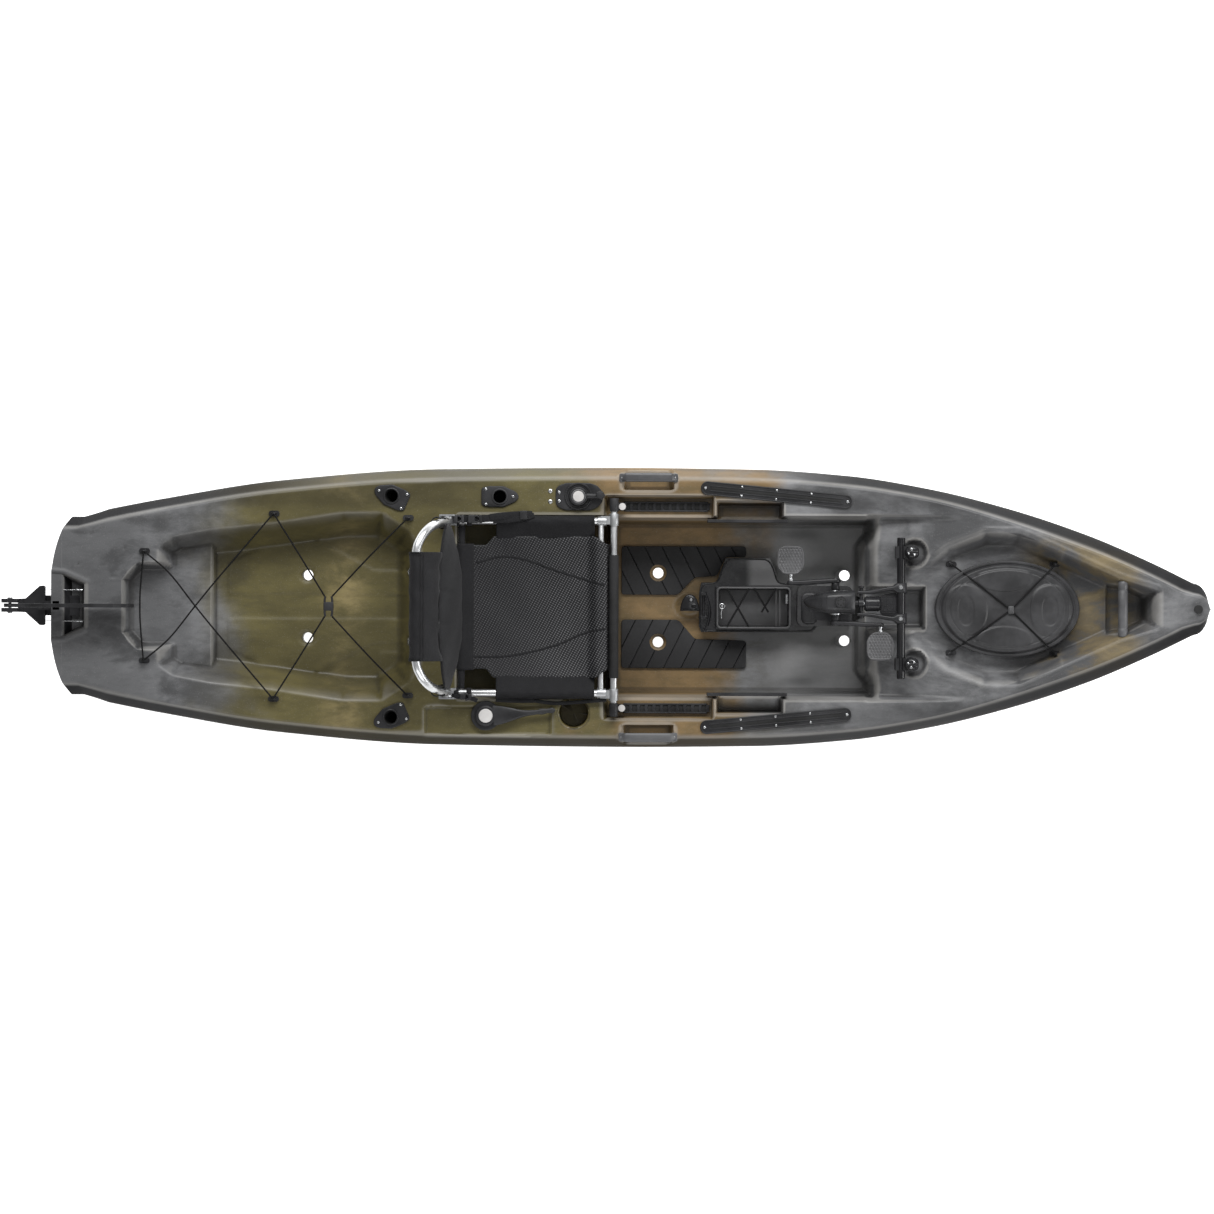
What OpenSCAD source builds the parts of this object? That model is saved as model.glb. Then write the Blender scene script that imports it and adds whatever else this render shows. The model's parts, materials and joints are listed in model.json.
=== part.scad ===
/* [Hull] */
// Length of the hull from transom to bow tip
hull_len = 3658; // [3600:1:3700]
// Wall thickness of the moulded shell
wall = 5; // [4:0.5:6]
// Height of the side deck amidships
deck_z = 340; // [338:1:342]
// Height of the foot-well floor
floor_z = 110; // [105:1:112]
// Height of the floor under the seat
seat_floor_z = 200; // [190:1:200]
// Height of the cargo-well floor at the stern
tank_floor_z = 215; // [205:1:225]
// Radius of the scupper drains
scupper_r = 17; // [14:0.5:18]
/* [Fittings] */
// Bore radius of the flush rod holders
rod_bore_r = 18.5; // [17:0.5:19]
// Depth of the rod holder tubes
rod_depth = 180; // [150:5:190]
// Radius of the cup holder
cup_r = 44; // [40:1:46]
// Distance of the seat tracks from the centre line
track_y = 319; // [318:1:320]
// Number of holes in each seat track
track_holes = 11; // [6:1:11]
// Radius of the elastic cords
cord_r = 3; // [2:0.5:3]
/* [Seat] */
// Outer radius of the seat frame tubes
seat_tube_r = 12.5; // [11:0.5:12.5]
// Half distance between the side tubes of the seat
seat_half = 272; // [270:1:273]
// Height of the seat frame
seat_z = 354; // [354:1:358]
/* [Pedal drive] */
// Length of the crank arms between centres
crank_len = 142; // [138:1:142]
// Radius of the propeller
prop_r = 112; // [95:1:112]
// Radius of the front cross tube that the drive swings on
bar_r = 13; // [12:0.5:13]
// Teeth of the crown gear on the crank axle
crown_teeth = 46; // [46:1:46]
// Teeth of the upper pinion
pinion_teeth = 14; // [14:1:14]
/* [Rudder] */
// Length of the rudder blade from its pivot
blade_len = 392; // [340:2:392]
// Thickness of the rudder blade
blade_t = 12; // [8:1:12]

/* [Hidden] */
$fn = 40;

// Curves of the hull
stern_x = -hull_len / 2;
bow_x = hull_len / 2;
nose_x = 1781;
transom_bow = 59;
beam_line = [[-1770, 282], [-1480, 340], [-1100, 401], [-600, 438], [0, 444], [400, 440],
    [700, 420], [950, 380], [1200, 318], [1450, 234], [1650, 147], [nose_x, 81]];
sheer_line = [[-1829, 362], [-1300, 352], [-900, deck_z], [760, deck_z], [1100, 362],
    [1450, 395], [1829, 428]];
keel_line = [[-1829, 130], [-1600, 66], [-1300, 18], [-950, 0], [950, 0], [1250, 20],
    [1500, 66], [1700, 145], [1790, 228], [1829, 320]];
band_line = [[-1829, 34], [900, 34], [1400, 46], [1829, 46]];

// Points of the drive
pivot_x = 859;
pivot_z = 365;
crank_x = 652;
crank_z = 360;
prop_z = -138;
crown_r = crown_teeth;
pinion_r = pinion_teeth;
low_pinion_r = 6;
low_gear_r = low_pinion_r * 44 / 14;
arm_y = 86;
arm_y2 = -47;
latch_x = 240;
latch_z = 155.5;
// Points of the seat
bar_x = -48;
back_x = -573;
back_z = 390;
track_top = 306;
// Points of the rudder
steer_x = -1850;
blade_x = -1950;
blade_z = 400;

function clamp01(t) = min(1, max(0, t));
function segment(p, x, i = 0) = (i >= len(p) - 2 || x < p[i + 1][0]) ? i : segment(p, x, i + 1);
function rise(p, i) = (p[i + 1][1] - p[i][1]) / (p[i + 1][0] - p[i][0]);
// Slope of a curve at its point i, level where the curve turns
function slope(p, i) = (i == 0) ? rise(p, 0) : (i == len(p) - 1) ? rise(p, i - 1) :
    let (a = rise(p, i - 1), b = rise(p, i)) (a * b <= 0) ? 0 : 2 * a * b / (a + b);
// Height of a smooth curve through the points p at x
function along(p, x) =
    let (i = segment(p, x), h = p[i + 1][0] - p[i][0], t = clamp01((x - p[i][0]) / h))
    (2 * pow(t, 3) - 3 * t * t + 1) * p[i][1] + (pow(t, 3) - 2 * t * t + t) * h * slope(p, i)
    + (3 * t * t - 2 * pow(t, 3)) * p[i + 1][1] + (pow(t, 3) - t * t) * h * slope(p, i + 1);
function half_beam(x) = (x <= nose_x) ? along(beam_line, x) :
    along(beam_line, nose_x) * sqrt(max(0, 1 - pow((x - nose_x) / (bow_x - nose_x), 2)));
function sheer(x) = along(sheer_line, x);

// One half of the section at x, from the middle of the deck round to the keel
function half_section(x, t) =
    let (b = max(4, half_beam(x) - t), top = sheer(x) - t, low = along(keel_line, x) + t)
    let (band = min(along(band_line, x), b * 0.45), v = clamp01((x - 900) / 850), h = top - low)
    [[0, top], [b * 0.35, top], [b - band - min(8, b * 0.1), top], [b - band, top - 4],
    [b - 4, top - h * 0.15 - 4], [b, top - h * 0.18 - 4], [b - 3, top - h * 0.21 - 6],
    [b * (0.975 - 0.05 * v), low + h * 0.5], [b * (0.93 - 0.22 * v), low + h * 0.2 + 4],
    [b * (0.80 - 0.35 * v), low + h * 0.06], [b * (0.45 - 0.25 * v), low + 3], [0, low]];
// The whole ring of points at x, with the curved and raked transom at the stern
function ring(x, t) =
    let (half = half_section(x, t), n = len(half), fade = clamp01((-1650 - x) / 179))
    let (flat = concat(half, [for (i = [n - 2 : -1 : 1]) [-half[i][0], half[i][1]]]))
    [for (p = flat) [x + fade * (transom_bow * pow(abs(p[0]) / 282, 2.8)
        + 0.12 * (sheer(x) - p[1])), -p[0], p[1]]];

function middle(points) = [for (p = points) 1 / len(points)] * points;
// A closed skin through rings of points, with a fan of triangles over each end
module skin(rings) {
    n = len(rings[0]);
    m = len(rings);
    faces = concat(
        [for (j = [0 : m - 2]) for (i = [0 : n - 1]) [j * n + i, (j + 1) * n + i, (j + 1) * n + (i + 1) % n]],
        [for (j = [0 : m - 2]) for (i = [0 : n - 1]) [j * n + i, (j + 1) * n + (i + 1) % n, j * n + (i + 1) % n]],
        [for (i = [0 : n - 1]) [m * n, i, (i + 1) % n]],
        [for (i = [0 : n - 1]) [m * n + 1, (m - 1) * n + (i + 1) % n, (m - 1) * n + i]]);
    polyhedron(points = [for (r = rings) each r, middle(rings[0]), middle(rings[m - 1])],
        faces = faces, convexity = 10);
}

function unit(v) = v / norm(v);
// Ring of points round a route at its point i, kept upright
function tube_ring(route, i, r, sides) =
    let (a = route[max(0, i - 1)], b = route[min(len(route) - 1, i + 1)], d = unit(b - a))
    let (up = (abs(d[2]) > 0.95) ? [1, 0, 0] : [0, 0, 1], s = unit(cross(d, up)), u = cross(s, d))
    [for (k = [0 : sides - 1]) route[i] + r * (cos(k * 360 / sides) * s - sin(k * 360 / sides) * u)];
// Round cord or tube along a route of points
module tube(route, r, sides = 8) {
    skin([for (i = [0 : len(route) - 1]) tube_ring(route, i, r, sides)]);
}
module both_sides() {
    children();
    mirror([0, 1, 0]) children();
}
// Cylinder lying along Y, between y0 and y1
module rod_y(x, z, r, y0, y1) {
    translate([x, y0, z]) rotate([-90, 0, 0]) cylinder(r = r, h = y1 - y0);
}
// Cylinder lying along X, between x0 and x1
module rod_x(y, z, r, x0, x1) {
    translate([x0, y, z]) rotate([0, 90, 0]) cylinder(r = r, h = x1 - x0);
}
module rod_z(x, y, r, z0, z1) {
    translate([x, y, z0]) cylinder(r = r, h = z1 - z0);
}
module block(x0, x1, y0, y1, z0, z1) {
    translate([x0, y0, z0]) cube([x1 - x0, y1 - y0, z1 - z0]);
}
// Upright prism with the outline points, grown outwards by g
module prism(points, z0, z1, g = 0) {
    translate([0, 0, z0]) linear_extrude(z1 - z0) {
        if (g == 0) polygon(points);
        else offset(delta = g) polygon(points);
    }
}
function mirrored(p) = concat(p, [for (i = [len(p) - 1 : -1 : 0]) [p[i][0], -p[i][1]]]);
function ellipse(cx, a, b, n = 48) = [for (i = [0 : n - 1]) [cx + a * cos(i * 360 / n), b * sin(i * 360 / n)]];
function rounded(x0, x1, y0, y1, r, n = 6) = [
    for (c = [[x1 - r, y1 - r, 0], [x0 + r, y1 - r, 90], [x0 + r, y0 + r, 180], [x1 - r, y0 + r, 270]])
        for (i = [0 : n]) [c[0] + r * cos(c[2] + i * 90 / n), c[1] + r * sin(c[2] + i * 90 / n)]];

// Outlines of the wells, on one side of the centre line
tank_outline = [[-1493, 192], [-1444, 225], [-1329, 247], [-1130, 268], [-906, 302],
    [-782, 303], [-693, 246], [-655, 190]];
bow_outline = [[876, 96], [1009, 197], [1126, 242], [1234, 242], [1544, 99], [1669, 60]];
rudder_outline = [[-1900, 108], [-1790, 98], [-1721, 68]];
hatch_x = 1198;
hatch_floor = 300;
rod_places = [[-753, 350, -15], [-753, -350, -15], [-410, 349, 0]];
scuppers = [[-1025, 100], [-687, 110], [95, 111], [683, 105]];

// Wells that are moulded into the deck, grown by the wall for the inside of the shell
module wells(g = 0) {
    prism(mirrored(tank_outline), tank_floor_z - g, 600, g);
    block(-1598 - g, -1324 + g, -138 - g, 138 + g, 262 - g, 600);
    block(-545 - g, -59 + g, -292 - g, 292 + g, seat_floor_z - g, 600);
    block(-60 - g, 750 + g, -290 - g, 290 + g, floor_z - g, 600);
    translate([0, 293 + g, 0]) rotate([90, 0, 0]) linear_extrude(2 * (293 + g))
        polygon([[740, 288 - g], [1126 + 4 * g, 366 - g], [1126 + 4 * g, 600], [740, 600]]);
    prism(mirrored(bow_outline), hatch_floor - g, 600, g);
    block(745 - g, 937 + g, -65 - g, 65 + g, 230 - g, 600);
    both_sides() block(-75 - g, 268 + g, 280, 352 + g, 298 - g, 600);
    both_sides() block(277 - g, 487 + g, 280, 335 + g, 232 - g, 600);
    both_sides() block(-14 - g, 136 + g, 378 - g, 500, 290 - g, 600);
    both_sides() rod_z(903, 175, 38 + g, 305 - g, 600);
    prism(mirrored(rudder_outline), 318 - g, 600, g);
    rod_z(-174, -335, cup_r + g, deck_z - 90 - g, 600);
    block(-646 - g, -244 + g, -404 - g, -316 + g, deck_z - 8 - g, 600);
}
module through_holes(g = 0) {
    for (s = scuppers) both_sides() rod_z(s[0], s[1], scupper_r + g, -20, 500);
    block(229 - g, 745 + g, -38 - g, 38 + g, -20, 500);
}
stations = concat([-1829, -1800], [for (x = [-1770 : 100 : 1730]) x], [1760, 1781, 1797, 1810, 1819, 1826]);
foam_stations = [-1816, -1770, -1670, -1570, -1470, -1370, -1270, -1070, -870, -570, -270, 30, 330, 630, 830, 930,
    1030, 1130, 1230, 1330, 1430, 1530, 1630, 1730, 1781];
inner_stations = concat([-1821], [for (x = [-1770 : 100 : 1730]) x], [1760, 1781, 1797, 1810]);

module hull_shell() {
    color([0.30, 0.27, 0.18]) difference() {
        skin([for (x = stations) ring(x, 0)]);
        wells();
        through_holes();
        prism(ellipse(hatch_x, 196, 121), 200, 400);
        for (p = rod_places) translate([p[0], p[1], deck_z]) rotate([0, p[2], 0])
            translate([0, 0, -60]) cylinder(r = rod_bore_r + 4, h = 90);
        difference() {
            skin([for (x = inner_stations) ring(x, wall)]);
            wells(wall);
            through_holes(wall - 1);
        }
    }
}
// Closed-cell foam inside the hull. Each row is x0, x1, inner y, outer y, bottom and top
foam_top = 600;
foam_cells = [[-1815, -1714, 0, 999, -20, 311], [-1815, -1714, 60, 999, 311, foam_top],
    [-1714, -1603, 0, 999, -20, foam_top],
    [-1603, -1498, 0, 999, -20, 255], [-1603, -1498, 138, 999, 255, foam_top],
    [-1498, -1444, 0, 999, -20, 208], [-1498, -1444, 180, 999, 208, foam_top],
    [-1444, -1329, 0, 999, -20, 208], [-1444, -1329, 200, 999, 208, foam_top],
    [-1329, -1130, 0, 999, -20, 208], [-1329, -1130, 200, 999, 208, foam_top],
    [-1130, -1048, 0, 999, -20, 208], [-1048, -1002, 0, 77, -20, 208],
    [-1048, -1002, 123, 999, -20, 208], [-1002, -906, 0, 999, -20, 208],
    [-1130, -906, 200, 999, 208, foam_top], [-906, -782, 0, 999, -20, 208],
    [-906, -782, 240, 999, 208, foam_top],
    [-782, -711, 0, 999, -20, 158], [-711, -663, 0, 87, -20, 158], [-711, -663, 133, 999, -20, 158],
    [-782, -711, 0, 322, 158, 208], [-711, -663, 0, 87, 158, 208], [-711, -663, 133, 322, 158, 208],
    [-782, -663, 376, 999, 158, foam_top], [-663, -655, 0, 999, -20, 208],
    [-649, -551, 0, 300, -20, foam_top], [-649, -551, 300, 999, -20, 325],
    [-551, -434, 0, 999, -20, 193], [-551, -434, 290, 999, 193, 325],
    [-434, -386, 0, 999, -20, 153], [-434, -386, 0, 322, 153, 193], [-434, -386, 376, 999, 153, 325],
    [-386, -224, 0, 999, -20, 193], [-386, -224, 290, 999, 193, 325],
    [-224, -124, 0, 999, -20, 193], [-224, -124, 290, 999, 193, 243], [-224, -124, 387, 999, 243, foam_top],
    [-124, -81, 0, 999, -20, 193], [-124, -81, 290, 999, 193, foam_top],
    [-81, -66, 0, 999, -20, 193], [-81, -66, 290, 999, 193, 291], [-81, -66, 358, 999, 291, foam_top],
    [-66, 72, 0, 999, -20, 103], [72, 118, 0, 88, -20, 103], [72, 118, 134, 999, -20, 103],
    [118, 223, 0, 999, -20, 103], [-66, -20, 290, 999, 103, 291], [-66, -20, 358, 999, 291, foam_top],
    [-20, 142, 290, 999, 103, 283], [-20, 142, 358, 371, 283, foam_top], [142, 274, 290, 999, 103, 291],
    [142, 274, 358, 999, 291, foam_top], [223, 493, 44, 999, -20, 103], [274, 493, 290, 999, 103, 225],
    [274, 493, 341, 999, 225, foam_top], [493, 660, 44, 999, -20, 103], [660, 706, 44, 82, -20, 103],
    [660, 706, 128, 999, -20, 103], [706, 751, 44, 999, -20, 103], [493, 756, 296, 999, 103, foam_top],
    [756, 870, 0, 999, -20, 223], [756, 870, 71, 300, 223, foam_top], [756, 870, 300, 999, 223, foam_top],
    [870, 943, 0, 999, -20, 223], [870, 943, 71, 999, 223, 292], [943, 1009, 0, 999, -20, 292],
    [870, 1009, 300, 999, 292, foam_top], [1009, 1126, 0, 999, -20, 54], [1009, 1126, 128, 999, 54, 292],
    [1126, 1234, 0, 999, -20, 54], [1126, 1234, 128, 999, 54, 292], [1126, 1234, 240, 999, 292, foam_top],
    [1234, 1400, 0, 999, -20, 54], [1234, 1400, 128, 999, 54, 292], [1234, 1400, 150, 999, 292, foam_top],
    [1400, 1544, 0, 999, -20, 292], [1400, 1544, 90, 999, 292, foam_top],
    [1544, 1675, 0, 999, -20, 292], [1544, 1675, 55, 999, 292, foam_top], [1675, 1780, 0, 999, -20, foam_top]];
foam_gap = 1.5;
module flotation_blocks() {
    color([0.85, 0.85, 0.82]) difference() {
        intersection() {
            skin([for (x = foam_stations) ring(x, wall + foam_gap)]);
            for (c = foam_cells) both_sides()
                block(c[0] + 1, c[1] - 1, (c[2] == 0) ? -1 : c[2] + 1, c[3] - 1, c[4] + 1, c[5] - 1);
        }
        wells(wall + foam_gap);
        through_holes(wall + foam_gap);
    }
}
module rod_holders() {
    color([0.08, 0.08, 0.08]) for (p = rod_places) translate([p[0], p[1], deck_z]) rotate([0, 0, 0])
        difference() {
            union() {
                prism([[-58, -28], [-58, 28], [-34, 33], [12, 33], [56, 12], [60, 0], [56, -12],
                    [12, -33], [-34, -33]], 0, 5);
                rotate([0, p[2], 0]) translate([0, 0, -rod_depth])
                    cylinder(r = rod_bore_r + 3, h = rod_depth + (p[2] == 0 ? 1 : 2));
            }
            rotate([0, p[2], 0]) translate([0, 0, 3 - rod_depth]) cylinder(r = rod_bore_r, h = rod_depth + 30);
        }
}
module steering_base() {
    color([0.10, 0.10, 0.10]) difference() {
        union() {
            rod_z(-161, 350, 44, deck_z, deck_z + 10);
            prism([[-233, 328], [-233, 372], [-200, 389], [-120, 389], [-89, 365], [-89, 335],
                [-120, 311], [-200, 311]], deck_z, deck_z + 6);
        }
        rod_z(-161, 350, 8, deck_z - 1, deck_z + 11);
    }
}
module lift_lever_base() {
    color([0.10, 0.10, 0.10]) difference() {
        union() {
            rod_z(-452, -344, 27, deck_z - 8, deck_z + 1);
            rod_z(-452, -344, 43, deck_z, deck_z + 6);
        }
        rod_z(-452, -344, 8, deck_z - 9, deck_z + 7);
    }
}
module seat_tracks() {
    color([0.07, 0.07, 0.07]) both_sides() difference() {
        block(-17, 250, track_y - 16, track_y + 16, 298, track_top);
        for (i = [0 : track_holes - 1]) rod_z(-5 + i * 24.5, track_y, 5.5, 290, 310);
    }
}
module accessory_tracks() {
    color([0.09, 0.09, 0.09]) both_sides() translate([465.5, 357.5, deck_z]) rotate([0, 0, -5.38])
        difference() {
            prism(rounded(-240, 240, -22, 22, 21), 0, 7);
            block(-205, 205, -5, 5, 3, 20);
            block(-205, 205, -9, 9, 2, 4.5);
        }
}
module pocket_trims() {
    color([0.06, 0.06, 0.06]) both_sides() block(248, 501, 270, 279.5, 262, 338);
}
pad_port = [[-23, 41], [158, 41], [212, 97], [284, 103], [312, 164], [378, 164], [378, 197], [-23, 197]];
pad_starboard = [[-23, -39], [-23, -195], [378, -195], [378, -106], [213, -101], [160, -39]];
module floor_pads() {
    color([0.05, 0.05, 0.06]) for (p = [pad_port, pad_starboard]) difference() {
        prism(p, floor_z, floor_z + 8);
        both_sides() rod_z(95, 111, 27, floor_z - 1, floor_z + 20);
    }
}
module carry_handles() {
    color([0.10, 0.10, 0.11]) both_sides() difference() {
        prism(rounded(-30, 152, 392, 426, 12), deck_z, deck_z + 16);
        block(-12, 134, 380, 440, deck_z - 1, deck_z + 4);
    }
}
module bow_handle() {
    color([0.32, 0.33, 0.34]) rod_y(1557, 388, 15.5, -88, 88);
    color([0.10, 0.10, 0.10]) both_sides() rod_y(1557, 388, 9, 88, 91.5);
}
module bow_plug() {
    color([0.04, 0.04, 0.04]) rod_z(1789, 0, 13.5, sheer(1789) + 1.2, sheer(1789) + 8);
}
eyelets = [[-1531, 173, sheer(-1531)], [-1123, 293, sheer(-1123)], [-699, 281, deck_z]];
hatch_eyelets = [[1022, 140, hatch_floor], [1351, 142, hatch_floor]];
eye_h = 16;
module deck_eyelets() {
    color([0.07, 0.07, 0.07]) for (e = concat(eyelets, hatch_eyelets)) both_sides()
        translate([e[0], e[1], e[2] + 0.6]) difference() {
            union() {
                prism(rounded(-17, 17, -9, 9, 8), 0, 5);
                rod_z(0, 0, 6.5, 0, eye_h + 3);
            }
            rod_y(0, eye_h - 3, 3.4, -20, 20);
        }
}
function eye_top(e, side) = [e[0], side * e[1], e[2] + eye_h + 8];
buckle_at = [-950, 20, 356];
module deck_bungee() {
    color([0.05, 0.05, 0.05]) {
        for (s = [-1, 1]) {
            tube([eye_top(eyelets[0], s), [-1370, 0, 366 + 5 * s], eye_top(eyelets[1], -s)], cord_r);
            tube([eye_top(eyelets[1], s) + [0, 0, 8], buckle_at + [-12, 12 * s, 4]], cord_r);
            tube([buckle_at + [12, 12 * s, 4], eye_top(eyelets[2], s)], cord_r);
        }
        tube([eye_top(eyelets[0], 1) + [0, 0, 8], [-1541, 60, 381], [-1543, 0, 379], [-1541, -60, 381],
            eye_top(eyelets[0], -1) + [0, 0, 8]], cord_r);
    }
}
module bungee_buckle() {
    color([0.05, 0.05, 0.05]) translate(buckle_at) prism(rounded(-16, 16, -14, 14, 5), -7, 0.8);
}
module crossbar_saddles() {
    color([0.06, 0.06, 0.07]) both_sides() difference() {
        union() {
            block(842, 880, 158, 196, 316, 376);
            block(880, 912, 162, 192, 326, 372);
        }
        rod_y(pivot_x, pivot_z, bar_r + 0.06, 150, 200);
        block(852, 866, 150, 200, pivot_z, 380);
        rod_z(892, 177, 6, 330, 380);
    }
}
module rudder_bracket() {
    color([0.12, 0.12, 0.13]) {
        block(-1868, -1740, -32, 32, 318.4, 328);
        block(-1828, -1800, -12, 12, 328, 354);
        block(-1868, -1800, -14, 14, 354, 362);
        rod_z(steer_x, 0, 6, 320, 366);
    }
}
module rudder_cables() {
    color([0.65, 0.66, 0.68]) both_sides() {
        rod_x(49, 356, 1.5, -1842, -1735);
        rod_x(49, 356, 4, -1748, -1726);
    }
}
module hatch_rim() {
    color([0.06, 0.06, 0.06]) difference() {
        prism(ellipse(hatch_x, 214, 139), hatch_floor, hatch_floor + 18);
        prism(ellipse(hatch_x, 196, 121), hatch_floor - 1, hatch_floor + 19);
    }
}
lid_top = 346;
hatch_mid = [1208, -4, lid_top + 6];
module hatch_lid() {
    color([0.12, 0.12, 0.13]) difference() {
        union() {
            prism(ellipse(hatch_x, 229, 153), hatch_floor + 4, lid_top - 10);
            prism(ellipse(hatch_x, 212, 137), lid_top - 11, lid_top);
        }
        prism(ellipse(hatch_x, 218, 143), hatch_floor, hatch_floor + 19);
        prism(ellipse(hatch_x, 200, 125), hatch_floor, lid_top - 6);
    }
    color([0.05, 0.05, 0.05]) translate(hatch_mid) prism(rounded(-8, 8, -8, 8, 3), -6, 7);
}
module hatch_bungee() {
    color([0.04, 0.04, 0.04]) for (e = hatch_eyelets) for (s = [-1, 1])
        let (d = unit([e[0] - hatch_mid[0], s * e[1] - hatch_mid[1], 0]))
        tube([eye_top(e, s) + [0, 0, 2], hatch_mid + 184 * d - [0, 0, 1], hatch_mid + 12 * d + [0, 0, 1]], cord_r);
}
screw_places = [[-795, 350, 5], [-710, 350, 5], [-795, -350, 5], [-710, -350, 5], [-452, 349, 5],
    [-367, 349, 5], [-250, 366, 0], [-250, 333, 0], [-222, 336, 6], [-222, 364, 6]];
module deck_screws() {
    color([0.75, 0.75, 0.76]) {
        for (p = screw_places) rod_z(p[0], p[1], 4.5, deck_z + p[2], deck_z + p[2] + 2.5);
        both_sides() translate([465.5, 357.5, deck_z + 7]) rotate([0, 0, -5.38]) {
            for (x = [-226, 226]) rod_z(x, 0, 4, 0, 2);
            for (x = [-110, 0, 110]) for (y = [-14, 14]) rod_z(x, y, 3.5, 0, 2);
        }
    }
}

// Rudder
module rudder_yoke() {
    color([0.10, 0.10, 0.10]) difference() {
        union() {
            prism([[-1846, 60], [-1852, 63], [-1864, 62], [-1908, 22], [-1930, 21], [-1930, -21],
                [-1908, -22], [-1864, -62], [-1852, -63], [-1846, -60]], 334, 348);
            both_sides() block(-1974, -1926, 8, 21, 334, 424);
            block(-1930, -1916, -21, 21, 334, 362);
        }
        rod_z(steer_x, 0, 6.06, 330, 350);
        rod_y(blade_x, blade_z, 5, -30, 30);
    }
}
module blade_pin() {
    color([0.7, 0.7, 0.72]) {
        rod_y(blade_x, blade_z, 5, -23, 23);
        both_sides() rod_y(blade_x, blade_z, 8, 21, 25);
    }
}
module rudder_blade() {
    color([0.09, 0.09, 0.10]) difference() {
        union() {
            rod_y(blade_x, blade_z, 20, -blade_t / 2, blade_t / 2);
            translate([blade_x, blade_t / 2, blade_z]) rotate([90, 0, 0]) linear_extrude(blade_t)
                polygon([[0, -19], [blade_len - 40, -26], [blade_len - 10, -14], [blade_len, 12],
                    [blade_len - 12, 52], [blade_len - 60, 74], [170, 76], [110, 58], [70, 30], [0, 18]]);
        }
        rod_y(blade_x, blade_z, 5.06, -20, 20);
    }
}

// Steering and rudder lift
module steering_handle() {
    color([0.07, 0.07, 0.08]) {
        rod_z(-161, 350, 7.94, deck_z + 1, deck_z + 14);
        rod_z(-161, 350, 30, deck_z + 10.4, deck_z + 22);
        block(-138, -92, 340, 362, deck_z + 14, deck_z + 24);
        rod_z(-92, 354, 14, deck_z + 12, deck_z + 36);
    }
}
module steering_cap() {
    color([0.9, 0.9, 0.88]) rod_z(-161, 350, 22, deck_z + 22, deck_z + 26);
}
module lift_lever() {
    color([0.07, 0.07, 0.08]) {
        rod_z(-452, -344, 7.94, deck_z - 7, deck_z + 12);
        rod_z(-452, -344, 32, deck_z + 6.4, deck_z + 18);
        hull() {
            rod_z(-430, -342, 24, deck_z + 8, deck_z + 18);
            rod_z(-236, -325, 8, deck_z + 8, deck_z + 16);
        }
    }
}
module lift_lever_cap() {
    color([0.9, 0.9, 0.88]) rod_z(-452, -344, 22, deck_z + 18, deck_z + 22);
}

// Seat
module seat_crossbar() {
    color([0.72, 0.73, 0.74]) difference() {
        rod_y(bar_x, seat_z, 11, -337, 337);
        rod_y(bar_x, seat_z, 9, -340, 340);
    }
}
module seat_grip() {
    color([0.05, 0.05, 0.05]) difference() {
        rod_y(bar_x, seat_z, 15, -224, 165);
        rod_y(bar_x, seat_z, 11, -230, 170);
    }
}
module seat_end_caps() {
    color([0.06, 0.06, 0.06]) both_sides() difference() {
        union() {
            rod_y(bar_x, seat_z, 14, 303, 345);
            block(bar_x - 10, bar_x + 8, 305, 335, track_top + 0.6, seat_z);
            block(bar_x, -10, 307, 331, track_top + 0.6, 332);
        }
        rod_y(bar_x, seat_z, 11, 290, 337);
        rod_z(-22, track_y, 4.06, 300, 340);
    }
}
module seat_castings() {
    color([0.62, 0.63, 0.64]) both_sides() {
        difference() {
            union() {
                rod_y(bar_x, seat_z, 15, 258, 296);
                block(-90, bar_x - 4, 262, 288, 342, 362);
                rod_x(seat_half, seat_z, 15.5, -100, -72);
            }
            rod_y(bar_x, seat_z, 11, 250, 300);
            rod_x(seat_half, seat_z, seat_tube_r, -120, -76);
            rod_y(-89, seat_z, 9, 0, seat_half - 10);
        }
        block(-538, -505, 262, 284, seat_floor_z + 0.6, seat_z - 13);
        difference() {
            block(-596, -550, 286, 291, 345, back_z + 14);
            rod_y(back_x, back_z, 6, 280, 300);
        }
        difference() {
            block(-600, -545, 257, 291, seat_z - 13, seat_z + 14);
            rod_x(seat_half, seat_z, seat_tube_r, -590, -540);
        }
    }
}
module seat_frame() {
    color([0.74, 0.75, 0.76]) {
        both_sides() difference() {
            rod_x(seat_half, seat_z, seat_tube_r, -588, -76);
            rod_x(seat_half, seat_z, seat_tube_r - 2, -586, -70);
        }
        rod_y(-89, seat_z, 9, -seat_half + 11.5, seat_half - 11.5);
        rod_y(-530, seat_z - 14, 9, -262, 262);
    }
}
module seat_pan() {
    color([0.06, 0.06, 0.06]) prism(mirrored([[-518, 168], [-440, 200], [-400, 222], [-110, 222],
        [-66, 200]]), 318, 338);
}
module seat_side_sleeves() {
    color([0.04, 0.04, 0.04]) both_sides() {
        difference() {
            rod_x(seat_half, seat_z, 17, -418, -108);
            rod_x(seat_half, seat_z, seat_tube_r, -430, -100);
        }
        block(-418, -108, 222.5, 257, 330, 338);
    }
}
module lock_knob(y) {
    color([0.07, 0.07, 0.07]) rod_z(-22, y, 4, track_top + 0.6, 334);
    color([0.9, 0.9, 0.88]) rod_z(-22, y, 11, 333, 342);
}
module lock_knob_port() lock_knob(track_y);
module lock_knob_starboard() lock_knob(-track_y);

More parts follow.
